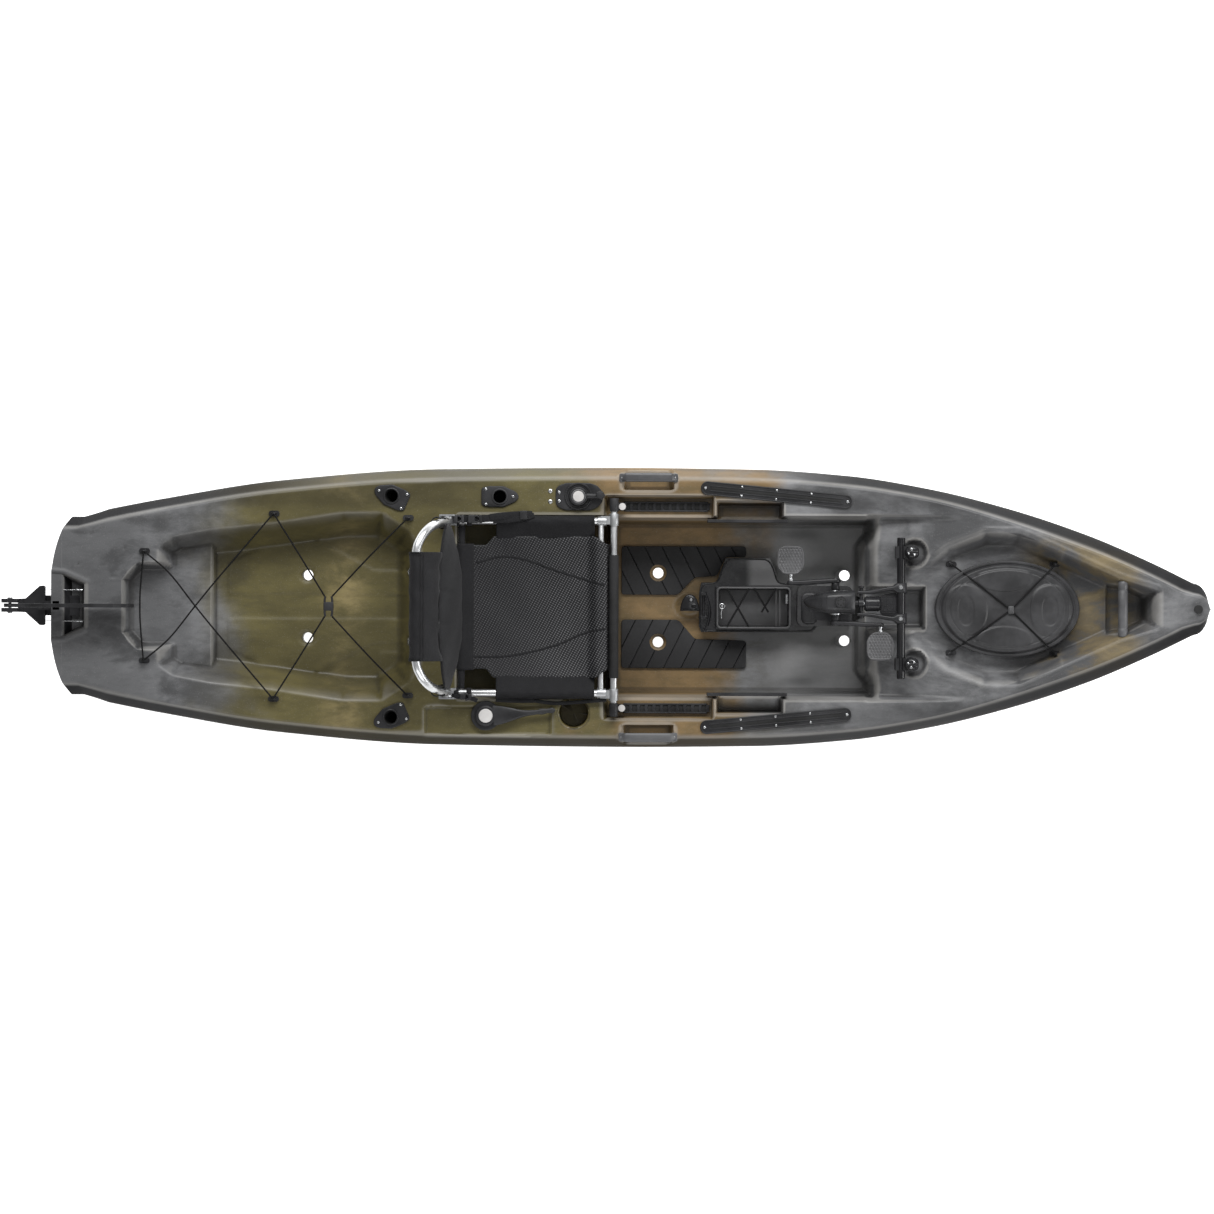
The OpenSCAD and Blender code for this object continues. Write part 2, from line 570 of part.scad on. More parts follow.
// Backrest, leaning back a little above its two hinges
back_route = [[back_x, 272, back_z], [-575, 264, 470], [-582, 260, 570], [-598, 254, 650],
    [-622, 236, 700], [-645, 205, 730], [-656, 165, 742], [-658, 80, 744]];
module backrest_tube() {
    route = concat(back_route, [for (i = [len(back_route) - 1 : -1 : 0])
        [back_route[i][0], -back_route[i][1], back_route[i][2]]]);
    color([0.76, 0.77, 0.78]) {
        tube(route, 14, 12);
        both_sides() rod_y(back_x, back_z, 16, 262, 285.6);
        both_sides() rod_y(back_x, back_z, 5.94, 285, 290.8);
    }
}
module backrest_sleeve() {
    color([0.07, 0.07, 0.07]) difference() {
        block(-676, -640, -168, 168, 655, 762);
        tube(concat([[-654, -175, 740], [-658, -80, 744], [-658, 80, 744], [-654, 175, 740]]), 17, 12);
    }
}
module backrest_band() {
    color([0.08, 0.08, 0.08]) prism(mirrored([[-566, 240], [-530, 240], [-542, 60]]), 430, 660);
}

// Pedal drive, in its lowered position
plate_outline = concat([[226, 48], [233, 81], [282, 81], [311, 159], [453, 159], [468, 127], [480, 82],
    [605, 76]], [[605, -60], [590, -78], [233, -78], [226, -60]]);
module drive_plate() {
    color([0.05, 0.05, 0.05]) difference() {
        union() {
            prism(plate_outline, 121, 146);
            block(280, 520, -68, 68, 140, 186);
            prism(rounded(540, 716, -58, 72, 20), 121, 178);
        }
        block(288, 512, -60, 60, 132, 200);
        prism(rounded(614, 696, -21, 21, 18), 100, 200);
        block(236, 600, -34, 34, 110, 128);
        prism(rounded(548, 708, -50, 64, 14), 110, 170);
    }
    color([0.05, 0.05, 0.05]) {
        block(latch_x - 8, latch_x + 8, -36, -27, 146, 163);
        block(latch_x - 8, latch_x + 8, 39, 48, 146, 163);
        rod_y(latch_x, latch_z, 3.94, -30, 42);
    }
}
module yoke_arm(y_aft, y_bar) {
    hull() {
        rod_y(734, 352, 13, y_aft - 6, y_aft + 6);
        rod_y(pivot_x, pivot_z, 19, y_bar - 8, y_bar + 8);
    }
}
module drive_yoke() {
    color([0.09, 0.09, 0.10]) difference() {
        union() {
            yoke_arm(50, 62);
            yoke_arm(-20, -38);
            block(794, 844, -26, 50, 350, 360);
            rod_x(16, 352, 24, 752, 796);
        }
        rod_y(pivot_x, pivot_z, bar_r, -80, 80);
        rod_y(734, 352, 6, -80, 80);
    }
}
module drive_crossbar() {
    color([0.05, 0.05, 0.05]) difference() {
        rod_y(pivot_x, pivot_z, bar_r, -223, 223);
        rod_y(pivot_x, pivot_z, bar_r - 2.5, -225, 225);
    }
}
module crank_housing() {
    color([0.13, 0.13, 0.13]) difference() {
        union() {
            hull() {
                rod_y(crank_x, crank_z, 54, -21, 55);
                rod_y(566, crank_z - 18, 18, 6, 28);
            }
            hull() {
                rod_y(734, 352, 13, -12, 42);
                rod_y(700, 352, 13, -12, 43);
            }
            rod_z(crank_x, 0, 24, 302, 330);
            rod_z(666, 19, 18, 395, 414.1);
        }
        rod_y(crank_x, crank_z, 50, -17, 51);
        rod_y(crank_x, crank_z, 17, -30, 60);
        rod_y(734, 352, 6.05, -50, 60);
        rod_z(crank_x, 0, 17, 300, 330);
    }
    color([0.6, 0.6, 0.62]) {
        rod_y(734, 352, 5.95, -34, 62);
    }
}
module housing_cap() {
    color([0.10, 0.10, 0.10]) difference() {
        rod_z(666, 19, 18, 414.1, 420);
        for (i = [0 : 5]) rod_z(666 + 11 * cos(i * 60), 19 + 11 * sin(i * 60), 2.2, 416, 430);
    }
}
// Outline of the leg, blunt ahead and fine behind
leg_outline = mirrored([[688, 3], [684, 9], [672, 15], [655, 18], [638, 14], [620, 5]]);
module drive_leg() {
    color([0.06, 0.06, 0.07]) difference() {
        union() {
            prism(leg_outline, prop_z + 16, 301);
            rod_z(crank_x, 0, 24, 284, 302);
            block(596, 706, -40, 40, 178, 186);
            translate([607, 0, prop_z]) rotate([0, 90, 0]) rotate_extrude()
                polygon([[0, 0], [23, 0], [27, 12], [28, 40], [26, 75], [18, 100], [8, 113], [0, 116]]);
        }
        rod_z(crank_x, 0, 12, prop_z, 310);
        rod_x(0, prop_z, 24, 616, 672);
        rod_x(0, prop_z, 5.05, 600, 620);
    }
}
module tray_bungee() {
    color([0.03, 0.03, 0.03]) for (x = [292, 396]) for (s = [-1, 1])
        tube([[x + 4, -62 * s, 190 + s], [x + 52, 0, 190 + 3.2 * s], [x + 100, 62 * s, 190 + s]], 2.4);
}
module crank_bearings() {
    color([0.6, 0.6, 0.62]) {
        for (y = [-21, 47]) difference() {
            rod_y(crank_x, crank_z, 17, y, y + 8);
            rod_y(crank_x, crank_z, 8.55, y - 1, y + 9);
        }
        for (z = [296]) difference() {
            rod_z(crank_x, 0, 12, z - 20, z - 12);
            rod_z(crank_x, 0, 6.05, z - 21, z - 11);
        }
    }
}
module crank_axle() {
    color([0.7, 0.7, 0.72]) rod_y(crank_x, crank_z, 8.5, arm_y2 - 8, arm_y + 8);
}
// One crank arm with its pedal spindle, x is the side of the axle it points to
module crank_arm(x, y, y_end) {
    difference() {
        hull() {
            rod_y(crank_x, crank_z, 16, y - 6, y + 6);
            rod_y(crank_x + x, crank_z, 11, y - 6, y + 6);
        }
        rod_y(crank_x, crank_z, 8.5, y - 10, y + 10);
    }
    rod_y(crank_x + x, crank_z, 5, min(y, y_end), max(y, y_end));
}
module crank_arms() {
    color([0.14, 0.14, 0.14]) {
        crank_arm(-crank_len, arm_y, 197);
        crank_arm(crank_len, arm_y2, -166);
    }
}
module crown_gear() {
    face = pinion_r / crown_r;
    color([0.55, 0.55, 0.5]) difference() {
        translate([crank_x, 0, crank_z]) rotate([-90, 0, 0]) rotate_extrude($fn = 60)
            polygon([[8.5, 15], [26, 15], [33, 33 * face + 0.2], [crown_r, pinion_r + 0.2], [crown_r, 21],
                [8.5, 24]]);
        for (i = [0 : crown_teeth - 1]) translate([crank_x, 0, crank_z]) rotate([0, i * 360 / crown_teeth, 0])
            translate([32, 8, -1]) cube([20, 8, 2]);
    }
}
module pedal(x, y0, y1) {
    difference() {
        translate([crank_x + x, 0, crank_z - 10]) prism(rounded(-43, 43, y0, y1, 22), 0, 20);
        rod_y(crank_x + x, crank_z, 5.06, y0 - 5, y1 + 5);
    }
}
module pedal_port() color([0.2, 0.2, 0.2]) pedal(-crank_len, 106, 196);
module pedal_starboard() color([0.2, 0.2, 0.2]) pedal(crank_len, -165, -75);
module drive_shaft() {
    low = low_pinion_r / low_gear_r;
    color([0.6, 0.6, 0.6]) {
        rod_z(crank_x, 0, 6, prop_z + 10, 312);
        difference() {
            rod_z(crank_x, 0, 13.6, 302.6, 314);
            for (i = [0 : pinion_teeth - 1]) translate([crank_x, 0, 0]) rotate([0, 0, i * 360 / pinion_teeth])
                translate([12, -1.2, 300]) cube([4, 2.4, 20]);
        }
        translate([crank_x, 0, 314]) cylinder(r1 = 13.6, r2 = 10, h = 12);
        translate([crank_x, 0, prop_z]) rotate_extrude()
            polygon([[0, 9], [11, 11 * low + 0.3], [low_gear_r, low_pinion_r + 0.3], [low_gear_r, 11], [0, 13]]);
    }
}
module prop_shaft() {
    color([0.65, 0.65, 0.67]) {
        rod_x(0, prop_z, 5, 562, 633.4);
        translate([crank_x - low_gear_r, 0, prop_z]) rotate([0, 90, 0])
            cylinder(r1 = low_pinion_r - 0.2, r2 = 3.4, h = 7);
        rod_x(0, prop_z, 6.6, 622, 630);
        rod_x(0, prop_z, 9, 562, 570);
    }
}
// Point of a propeller blade: s runs from root to tip, e across the blade
function blade_point(s, e, turn) =
    let (r = 14 + s * (prop_r - 14), chord = 26 + 34 * sin(180 * pow(s, 0.8)) * 0.9, pitch = atan2(150, 6.283 * r))
    let (w = e * chord * sqrt(max(0.04, 1 - pow(s, 6))))
    let (a = turn + w * cos(pitch) / r * 57.3)
    [590 + w * sin(pitch), r * sin(a), prop_z + r * cos(a)];
module propeller() {
    color([0.05, 0.05, 0.05]) difference() {
        union() {
            translate([572, 0, prop_z]) rotate([0, 90, 0]) rotate_extrude()
                polygon([[0, 0], [14, 0], [20, 8], [22, 20], [22, 33], [0, 33]]);
            for (turn = [0, 180]) skin([for (s = [0 : 0.1 : 1])
                let (t = [2.2 * (1.3 - s), 0, 0])
                [for (e = [-0.5, -0.25, 0, 0.25, 0.5]) blade_point(s, e, turn) + t * (1 - 4 * e * e * 0.8),
                for (e = [0.5, 0.25, 0, -0.25, -0.5]) blade_point(s, e, turn) - t * (1 - 4 * e * e * 0.8)]]);
        }
        rod_x(0, prop_z, 5, 560, 610);
    }
}
module rear_latch() {
    color([0.06, 0.06, 0.06]) difference() {
        union() {
            rod_z(196, 6, 33, 150, 160);
            block(200, latch_x, -26, 38, 150, 160);
            rod_y(latch_x, latch_z, 8, -26, 38);
        }
        rod_z(190, 6, 16, 140, 170);
        rod_y(latch_x, latch_z, 4, -40, 60);
    }
}
module saddle_knob(y) {
    color([0.06, 0.06, 0.06]) {
        rod_z(892, y, 5.94, 340, 386);
        rod_z(892, y, 24, 380, 392);
        block(886, 912, y - 5, y + 5, 392, 404);
    }
}
module saddle_knob_port() saddle_knob(177);
module saddle_knob_starboard() saddle_knob(-177);

hull_shell();
flotation_blocks();
rod_holders();
steering_base();
lift_lever_base();
seat_tracks();
accessory_tracks();
pocket_trims();
floor_pads();
carry_handles();
bow_handle();
bow_plug();
deck_eyelets();
deck_bungee();
bungee_buckle();
crossbar_saddles();
rudder_bracket();
rudder_cables();
hatch_rim();
hatch_bungee();
deck_screws();
hatch_lid();
rudder_yoke();
blade_pin();
rudder_blade();
steering_handle();
steering_cap();
lift_lever();
lift_lever_cap();
seat_crossbar();
seat_grip();
seat_end_caps();
seat_castings();
seat_frame();
seat_pan();
seat_side_sleeves();
lock_knob_port();
lock_knob_starboard();
backrest_tube();
backrest_sleeve();
backrest_band();
drive_plate();
drive_yoke();
drive_crossbar();
crank_housing();
housing_cap();
drive_leg();
tray_bungee();
crank_bearings();
crank_axle();
crank_arms();
crown_gear();
pedal_port();
pedal_starboard();
drive_shaft();
prop_shaft();
propeller();
rear_latch();
saddle_knob_port();
saddle_knob_starboard();
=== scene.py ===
"""Pedal boat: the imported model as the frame, with the finished surfaces made here."""
import json
import math

import bmesh
import bpy
import numpy as np
from mathutils import Matrix, Vector


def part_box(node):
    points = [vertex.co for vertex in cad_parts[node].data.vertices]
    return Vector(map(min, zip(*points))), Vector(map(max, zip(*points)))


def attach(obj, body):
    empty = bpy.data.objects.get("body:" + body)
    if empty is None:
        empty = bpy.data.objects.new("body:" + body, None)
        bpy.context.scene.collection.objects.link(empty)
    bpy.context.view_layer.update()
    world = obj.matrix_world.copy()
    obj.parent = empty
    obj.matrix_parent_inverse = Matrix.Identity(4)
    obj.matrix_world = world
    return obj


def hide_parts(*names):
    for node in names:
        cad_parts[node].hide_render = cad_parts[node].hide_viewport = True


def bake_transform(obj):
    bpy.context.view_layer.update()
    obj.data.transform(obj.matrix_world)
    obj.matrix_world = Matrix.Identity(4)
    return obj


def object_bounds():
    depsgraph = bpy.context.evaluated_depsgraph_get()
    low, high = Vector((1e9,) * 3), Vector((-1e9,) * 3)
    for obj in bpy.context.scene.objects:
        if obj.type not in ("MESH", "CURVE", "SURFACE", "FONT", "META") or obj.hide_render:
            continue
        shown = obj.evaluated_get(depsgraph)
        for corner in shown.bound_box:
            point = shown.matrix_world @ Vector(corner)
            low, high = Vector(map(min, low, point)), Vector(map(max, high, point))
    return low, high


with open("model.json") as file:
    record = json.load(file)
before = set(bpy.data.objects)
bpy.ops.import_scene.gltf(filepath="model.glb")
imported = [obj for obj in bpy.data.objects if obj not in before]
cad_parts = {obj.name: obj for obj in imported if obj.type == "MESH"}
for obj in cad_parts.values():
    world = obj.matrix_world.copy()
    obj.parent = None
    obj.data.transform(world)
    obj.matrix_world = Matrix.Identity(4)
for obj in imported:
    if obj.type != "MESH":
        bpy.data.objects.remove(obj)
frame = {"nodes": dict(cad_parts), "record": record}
cad_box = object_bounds()
nodes = frame["nodes"]
MM = 0.001
replaced = set()


# ---------------------------------------------------------------- places taken from the frame
def low(node):
    return np.array(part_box(node)[0]) / MM


def high(node):
    return np.array(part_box(node)[1]) / MM


def middle(node):
    return (low(node) + high(node)) / 2


DECK = low("accessory_tracks")[2]
BOW = high("hull_shell")[0]
HATCH_X = middle("hatch_lid")[0]
FLOOR = low("floor_pads")[2]
SEAT_Z = middle("seat_crossbar")[2]
SEAT_HALF = 272.0  # from the middle of the boat to the seat's side tubes
CRANK = np.array([middle("crank_axle")[0], 0.0, middle("crank_axle")[2]])
PIVOT = middle("drive_crossbar")
STEERING = (-161, 350, DECK)  # middle of the steering handle's dial
LEVER = (-452, -344, DECK)  # pivot of the rudder's lift lever
BACKREST_PIVOT = (-573, 390)  # x and z of the backrest's bolts
BACKREST_HALF = 272.0  # from the middle of the boat to the backrest's side tubes
TOP_TUBE = (-658, 744)  # x and z of the backrest's top tube
LID_HALF = (229, 153)  # half the length and half the width of the hatch lid
YOKE_Z = 352  # height of the yoke's pins


# ---------------------------------------------------------------- small helpers
def smooth(t):
    t = np.clip(t, 0, 1)
    return t * t * (3 - 2 * t)


def curve(points, x):
    """Smooth monotone curve through the points, at x."""
    p = np.asarray(points, float)
    step = np.diff(p[:, 0])
    rise = np.diff(p[:, 1]) / step
    slope = np.concatenate([[rise[0]], np.zeros(len(p) - 2), [rise[-1]]])
    same = rise[:-1] * rise[1:] > 0
    slope[1:-1][same] = (2 * rise[:-1] * rise[1:])[same] / (rise[:-1] + rise[1:])[same]
    x = np.asarray(x, float)
    i = np.clip(np.searchsorted(p[:, 0], x, side="right") - 1, 0, len(step) - 1)
    t = np.clip((x - p[i, 0]) / step[i], 0, 1)
    return (
        (2 * t**3 - 3 * t**2 + 1) * p[i, 1]
        + (t**3 - 2 * t**2 + t) * step[i] * slope[i]
        + (3 * t**2 - 2 * t**3) * p[i + 1, 1]
        + (t**3 - t**2) * step[i] * slope[i + 1]
    )


def outline_distance(x, y, outline):
    """Signed distance to a closed outline, negative inside."""
    p = np.asarray(outline, float)
    q = np.roll(p, -1, axis=0)
    nearest = np.full(x.shape, 1e9)
    inside = np.zeros(x.shape, bool)
    for (ax, ay), (bx, by) in zip(p, q):
        dx, dy = bx - ax, by - ay
        t = np.clip(((x - ax) * dx + (y - ay) * dy) / (dx * dx + dy * dy + 1e-9), 0, 1)
        nearest = np.minimum(nearest, np.hypot(x - ax - t * dx, y - ay - t * dy))
        if ay != by:
            inside ^= ((ay > y) != (by > y)) & (x < (bx - ax) * (y - ay) / (by - ay) + ax)
    return np.where(inside, -nearest, nearest)


def mirrored(points):
    return points + [(x, -y) for x, y in reversed(points)]


def rectangle(x0, x1, y0, y1):
    return [(x0, y0), (x1, y0), (x1, y1), (x0, y1)]


def points(x, y, z):
    """Rows of (x, y, z), where any of the three may be a single number."""
    return np.column_stack([np.asarray(v, float) for v in np.broadcast_arrays(x, y, z)])


def soft(value, power):
    """A sine or cosine swollen towards a square section, keeping its sign."""
    return np.sign(value) * np.abs(value) ** power


def circle_angles(count):
    return np.arange(count) * 2 * math.pi / count


def new_object(name, verts, faces, body, material, replaces=(), sharp=None):
    """A piece from points in millimetres, on its body, with its finish."""
    mesh = bpy.data.meshes.new(name)
    mesh.from_pydata([tuple(v) for v in np.asarray(verts) * MM], [], [tuple(map(int, f)) for f in faces])
    mesh.validate()
    mesh.update()
    obj = bpy.data.objects.new(name, mesh)
    bpy.context.scene.collection.objects.link(obj)
    mesh.shade_smooth()
    if sharp is not None:
        mesh.set_sharp_from_angle(angle=math.radians(sharp))
    mesh.materials.append(material)
    if body:
        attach(obj, body)
    if replaces:
        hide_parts(*replaces)
        replaced.update(replaces)
    return obj


def apply_modifiers(obj):
    """Replaces an object's mesh by its result with all modifiers."""
    graph = bpy.context.evaluated_depsgraph_get()
    mesh = bpy.data.meshes.new_from_object(obj.evaluated_get(graph), depsgraph=graph)
    obj.modifiers.clear()
    obj.data = mesh


def face_outwards(mesh):
    """Turns the faces of a closed mesh outwards."""
    bm = bmesh.new()
    bm.from_mesh(mesh)
    bmesh.ops.recalc_face_normals(bm, faces=bm.faces)
    bm.to_mesh(mesh)
    bm.free()


def cut_away(obj, parts, sharp):
    """Takes the shapes in parts away from the piece, then marks edges over that many degrees as sharp."""
    v, f = parts.all()
    mesh = bpy.data.meshes.new("cutter")
    mesh.from_pydata([tuple(p) for p in v * MM], [], f)
    face_outwards(mesh)
    cutter = bpy.data.objects.new("cutter", mesh)
    bpy.context.scene.collection.objects.link(cutter)
    boolean = obj.modifiers.new("cut", "BOOLEAN")
    boolean.operation = "DIFFERENCE"
    boolean.solver = "EXACT"
    boolean.object = cutter
    apply_modifiers(obj)
    bpy.data.objects.remove(cutter)
    obj.data.set_sharp_from_angle(angle=math.radians(sharp))


def grid_faces(rows, columns, closed_columns=False, closed_rows=False):
    r = np.arange(rows if closed_rows else rows - 1)
    c = np.arange(columns if closed_columns else columns - 1)
    rr, cc = np.meshgrid(r, c, indexing="ij")
    r1, c1 = (rr + 1) % rows, (cc + 1) % columns
    corners = [rr * columns + cc, r1 * columns + cc, r1 * columns + c1, rr * columns + c1]
    return np.stack(corners, -1).reshape(-1, 4)


def tube_faces(rows, around):
    """Faces of a tube of closed rings, with a cap at each end."""
    faces = [tuple(f) for f in grid_faces(rows, around, closed_columns=True)]
    faces.append(tuple(range(around)))
    faces.append(tuple((rows - 1) * around + k for k in reversed(range(around))))
    return faces


def spline(knots, count):
    """Catmull-Rom curve through the knots, with count samples."""
    p = np.asarray(knots, float)
    p = np.vstack([2 * p[0] - p[1], p, 2 * p[-1] - p[-2]])
    t = np.linspace(0, len(p) - 3 - 1e-6, count)
    i = t.astype(int)
    u = (t - i)[:, None]
    a, b, c, d = p[i], p[i + 1], p[i + 2], p[i + 3]
    square, cube = 2 * a - 5 * b + 4 * c - d, 3 * b - a - 3 * c + d
    return 0.5 * (2 * b + (c - a) * u + square * u**2 + cube * u**3)


def sweep(path, radii, sides=12, squash=(1.0, 1.0), up=(0, 0, 1)):
    """Tube along a path of points. radii is a number or one per point."""
    path = np.asarray(path, float)
    n = len(path)
    radii = np.broadcast_to(np.asarray(radii, float), (n,))
    tangent = np.gradient(path, axis=0)
    tangent /= np.linalg.norm(tangent, axis=1)[:, None]
    side = np.cross(tangent, np.asarray(up, float))
    weak = np.linalg.norm(side, axis=1) < 0.2
    side[weak] = np.cross(tangent[weak], [1.0, 0, 0])
    side /= np.linalg.norm(side, axis=1)[:, None]
    top = np.cross(side, tangent)
    a = circle_angles(sides)
    ring = (
        np.cos(a)[None, :, None] * side[:, None, :] * squash[0]
        + np.sin(a)[None, :, None] * top[:, None, :] * squash[1]
    )
    verts = (path[:, None, :] + radii[:, None, None] * ring).reshape(-1, 3)
    return verts, tube_faces(n, sides)


class Parts:
    """Collects several shapes into one mesh."""

    def __init__(self):
        self.verts, self.faces, self.count = [], [], 0

    def add(self, shape):
        verts, faces = shape
        self.verts.append(np.asarray(verts, float))
        self.faces += [tuple(int(k) + self.count for k in f) for f in faces]
        self.count += len(verts)
        return self

    def all(self):
        return np.vstack(self.verts), self.faces


def counter_clockwise(outline):
    p = np.asarray(outline, float)
    area = np.sum(p[:, 0] * np.roll(p[:, 1], -1) - np.roll(p[:, 0], -1) * p[:, 1])
    return p[::-1] if area < 0 else p


def corner_normals(p, least):
    """Outward direction at each corner that moves both its sides by 1; least limits sharp corners."""
    e1, e2 = np.roll(p, -1, axis=0) - p, p - np.roll(p, 1, axis=0)
    n1 = np.stack([e1[:, 1], -e1[:, 0]], 1) / (np.linalg.norm(e1, axis=1)[:, None] + 1e-9)
    n2 = np.stack([e2[:, 1], -e2[:, 0]], 1) / (np.linalg.norm(e2, axis=1)[:, None] + 1e-9)
    m = n1 + n2
    return m / np.maximum(least, np.sum(m * n1, axis=1))[:, None]


def prism(outline, z0, z1, bevel=0.0, steps=3):
    """Upright prism with a rounded upper rim."""
    p = counter_clockwise(outline)
    m = corner_normals(p, 0.6)
    rings = [(0.0, z0)]
    for k in range(steps + 1):
        a = k / steps * math.pi / 2
        rings.append((bevel * (1 - math.cos(a)), z1 - bevel * (1 - math.sin(a))))
    n = len(p)
    verts = np.vstack([points(p[:, 0] - m[:, 0] * g, p[:, 1] - m[:, 1] * g, z) for g, z in rings])
    faces = []
    for k in range(len(rings) - 1):
        for i in range(n):
            j = (i + 1) % n
            faces.append((k * n + i, k * n + j, (k + 1) * n + j, (k + 1) * n + i))
    faces.append(tuple(reversed(range(n))))
    faces.append(tuple((len(rings) - 1) * n + i for i in range(n)))
    return verts, faces


def round_outline(x0, x1, y0, y1, r, n=6):
    """Rectangle with round corners."""
    corners = ((x1 - r, y1 - r, 0), (x0 + r, y1 - r, 90), (x0 + r, y0 + r, 180), (x1 - r, y0 + r, 270))
    outline = []
    for cx, cy, start in corners:
        for i in range(n + 1):
            a = math.radians(start + 90 * i / n)
            outline.append((cx + r * math.cos(a), cy + r * math.sin(a)))
    return outline


def block(x, y, half_x, half_y, r, z0, z1, bevel=0.0, n=6):
    """Rounded block round a middle."""
    return prism(round_outline(x - half_x, x + half_x, y - half_y, y + half_y, r, n), z0, z1, bevel)


def turned(profile, centre, axis="z", sides=48, ring=False):
    """Round shape from a profile of (radius, height) points, open at the axis, or closed as a ring."""
    a = circle_angles(sides)
    verts = np.vstack([points(r * np.cos(a), r * np.sin(a), h) for r, h in profile])
    faces = [tuple(f)[::-1] for f in grid_faces(len(profile), sides, closed_columns=True, closed_rows=ring)]
    if not ring:
        faces.append(tuple(reversed(range(sides))))
        faces.append(tuple((len(profile) - 1) * sides + k for k in range(sides)))
    order = {"x": [2, 0, 1], "y": [1, 2, 0], "z": [0, 1, 2]}[axis]
    return verts[:, order] + np.asarray(centre, float), faces


def make(name, parts, body, slot, replaces=(), sharp=40, finish=None):
    """A piece from Parts or one shape; its finish has the slot's name unless another is given."""
    v, f = parts.all() if isinstance(parts, Parts) else parts
    return new_object(name, v, f, body, materials[finish or slot], replaces, sharp)


# ---------------------------------------------------------------- materials
class Nodes:
    """Short way to write a material's nodes."""

    def __init__(self, name, rough=0.5, metallic=0.0, colour=(0.5, 0.5, 0.5)):
        self.material = bpy.data.materials.new(name)
        self.material.use_nodes = True
        self.tree = self.material.node_tree
        self.shader = self.tree.nodes["Principled BSDF"]
        self.shader.inputs["Roughness"].default_value = rough
        self.shader.inputs["Metallic"].default_value = metallic
        self.shader.inputs["Base Color"].default_value = (*colour, 1)
        self.material.diffuse_color = (*colour, 1)
        self.coords = self.tree.nodes.new("ShaderNodeTexCoord").outputs["Object"]

    def link(self, a, b):
        self.tree.links.new(a, b)

    def put(self, socket, value):
        if isinstance(value, bpy.types.NodeSocket):
            self.tree.links.new(value, socket)
        else:
            socket.default_value = value

    def noise(self, scale, detail=3.0, rough=0.5, vector=None, distortion=0.0):
        n = self.tree.nodes.new("ShaderNodeTexNoise")
        self.put(n.inputs["Vector"], vector or self.coords)
        n.inputs["Scale"].default_value = scale
        n.inputs["Detail"].default_value = detail
        n.inputs["Roughness"].default_value = rough
        n.inputs["Distortion"].default_value = distortion
        return n.outputs["Fac"]

    def voronoi(self, scale):
        n = self.tree.nodes.new("ShaderNodeTexVoronoi")
        self.link(self.coords, n.inputs["Vector"])
        n.inputs["Scale"].default_value = scale
        return n.outputs["Distance"]

    def wave(self, scale, vector=None, direction="X", distortion=0.0, detail=0.0):
        n = self.tree.nodes.new("ShaderNodeTexWave")
        n.bands_direction = direction
        self.put(n.inputs["Vector"], vector or self.coords)
        n.inputs["Scale"].default_value = scale
        n.inputs["Distortion"].default_value = distortion
        n.inputs["Detail"].default_value = detail
        return n.outputs["Fac"]

    def stretch(self, scale=(1, 1, 1), turn=(0, 0, 0)):
        n = self.tree.nodes.new("ShaderNodeMapping")
        self.link(self.coords, n.inputs["Vector"])
        n.inputs["Scale"].default_value = scale
        n.inputs["Rotation"].default_value = turn
        return n.outputs["Vector"]

    def math(self, kind, a, b=0.0):
        n = self.tree.nodes.new("ShaderNodeMath")
        n.operation = kind
        self.put(n.inputs[0], a)
        self.put(n.inputs[1], b)
        return n.outputs[0]

    def times(self, first, *others):
        """Product of two or more values."""
        for value in others:
            first = self.math("MULTIPLY", first, value)
        return first

    def ramp(self, value, low, high, out_low=0.0, out_high=1.0):
        n = self.tree.nodes.new("ShaderNodeMapRange")
        n.interpolation_type = "SMOOTHSTEP"
        self.put(n.inputs["Value"], value)
        n.inputs["From Min"].default_value = low
        n.inputs["From Max"].default_value = high
        n.inputs["To Min"].default_value = out_low
        n.inputs["To Max"].default_value = out_high
        return n.outputs["Result"]

    def mix(self, factor, a, b):
        n = self.tree.nodes.new("ShaderNodeMix")
        n.data_type = "RGBA"
        self.put(n.inputs["Factor"], factor)
        for socket, value in ((n.inputs["A"], a), (n.inputs["B"], b)):
            if isinstance(value, bpy.types.NodeSocket):
                self.tree.links.new(value, socket)
            else:
                socket.default_value = (*value, 1)
        return n.outputs["Result"]

    def axis(self, name):
        n = self.tree.nodes.new("ShaderNodeSeparateXYZ")
        self.link(self.coords, n.inputs[0])
        return n.outputs[name]

    def attribute(self, name):
        n = self.tree.nodes.new("ShaderNodeAttribute")
        n.attribute_name = name
        return n.outputs["Fac"]

    def bump(self, height, distance, strength=1.0, below=None):
        n = self.tree.nodes.new("ShaderNodeBump")
        n.inputs["Strength"].default_value = strength
        n.inputs["Distance"].default_value = distance
        self.link(height, n.inputs["Height"])
        if below is not None:
            self.link(below, n.inputs["Normal"])
        return n.outputs["Normal"]

    def finish(self, colour=None, rough=None, normal=None):
        if colour is not None:
            self.link(colour, self.shader.inputs["Base Color"])
        if rough is not None:
            self.link(rough, self.shader.inputs["Roughness"])
        if normal is not None:
            self.link(normal, self.shader.inputs["Normal"])
        return self.material


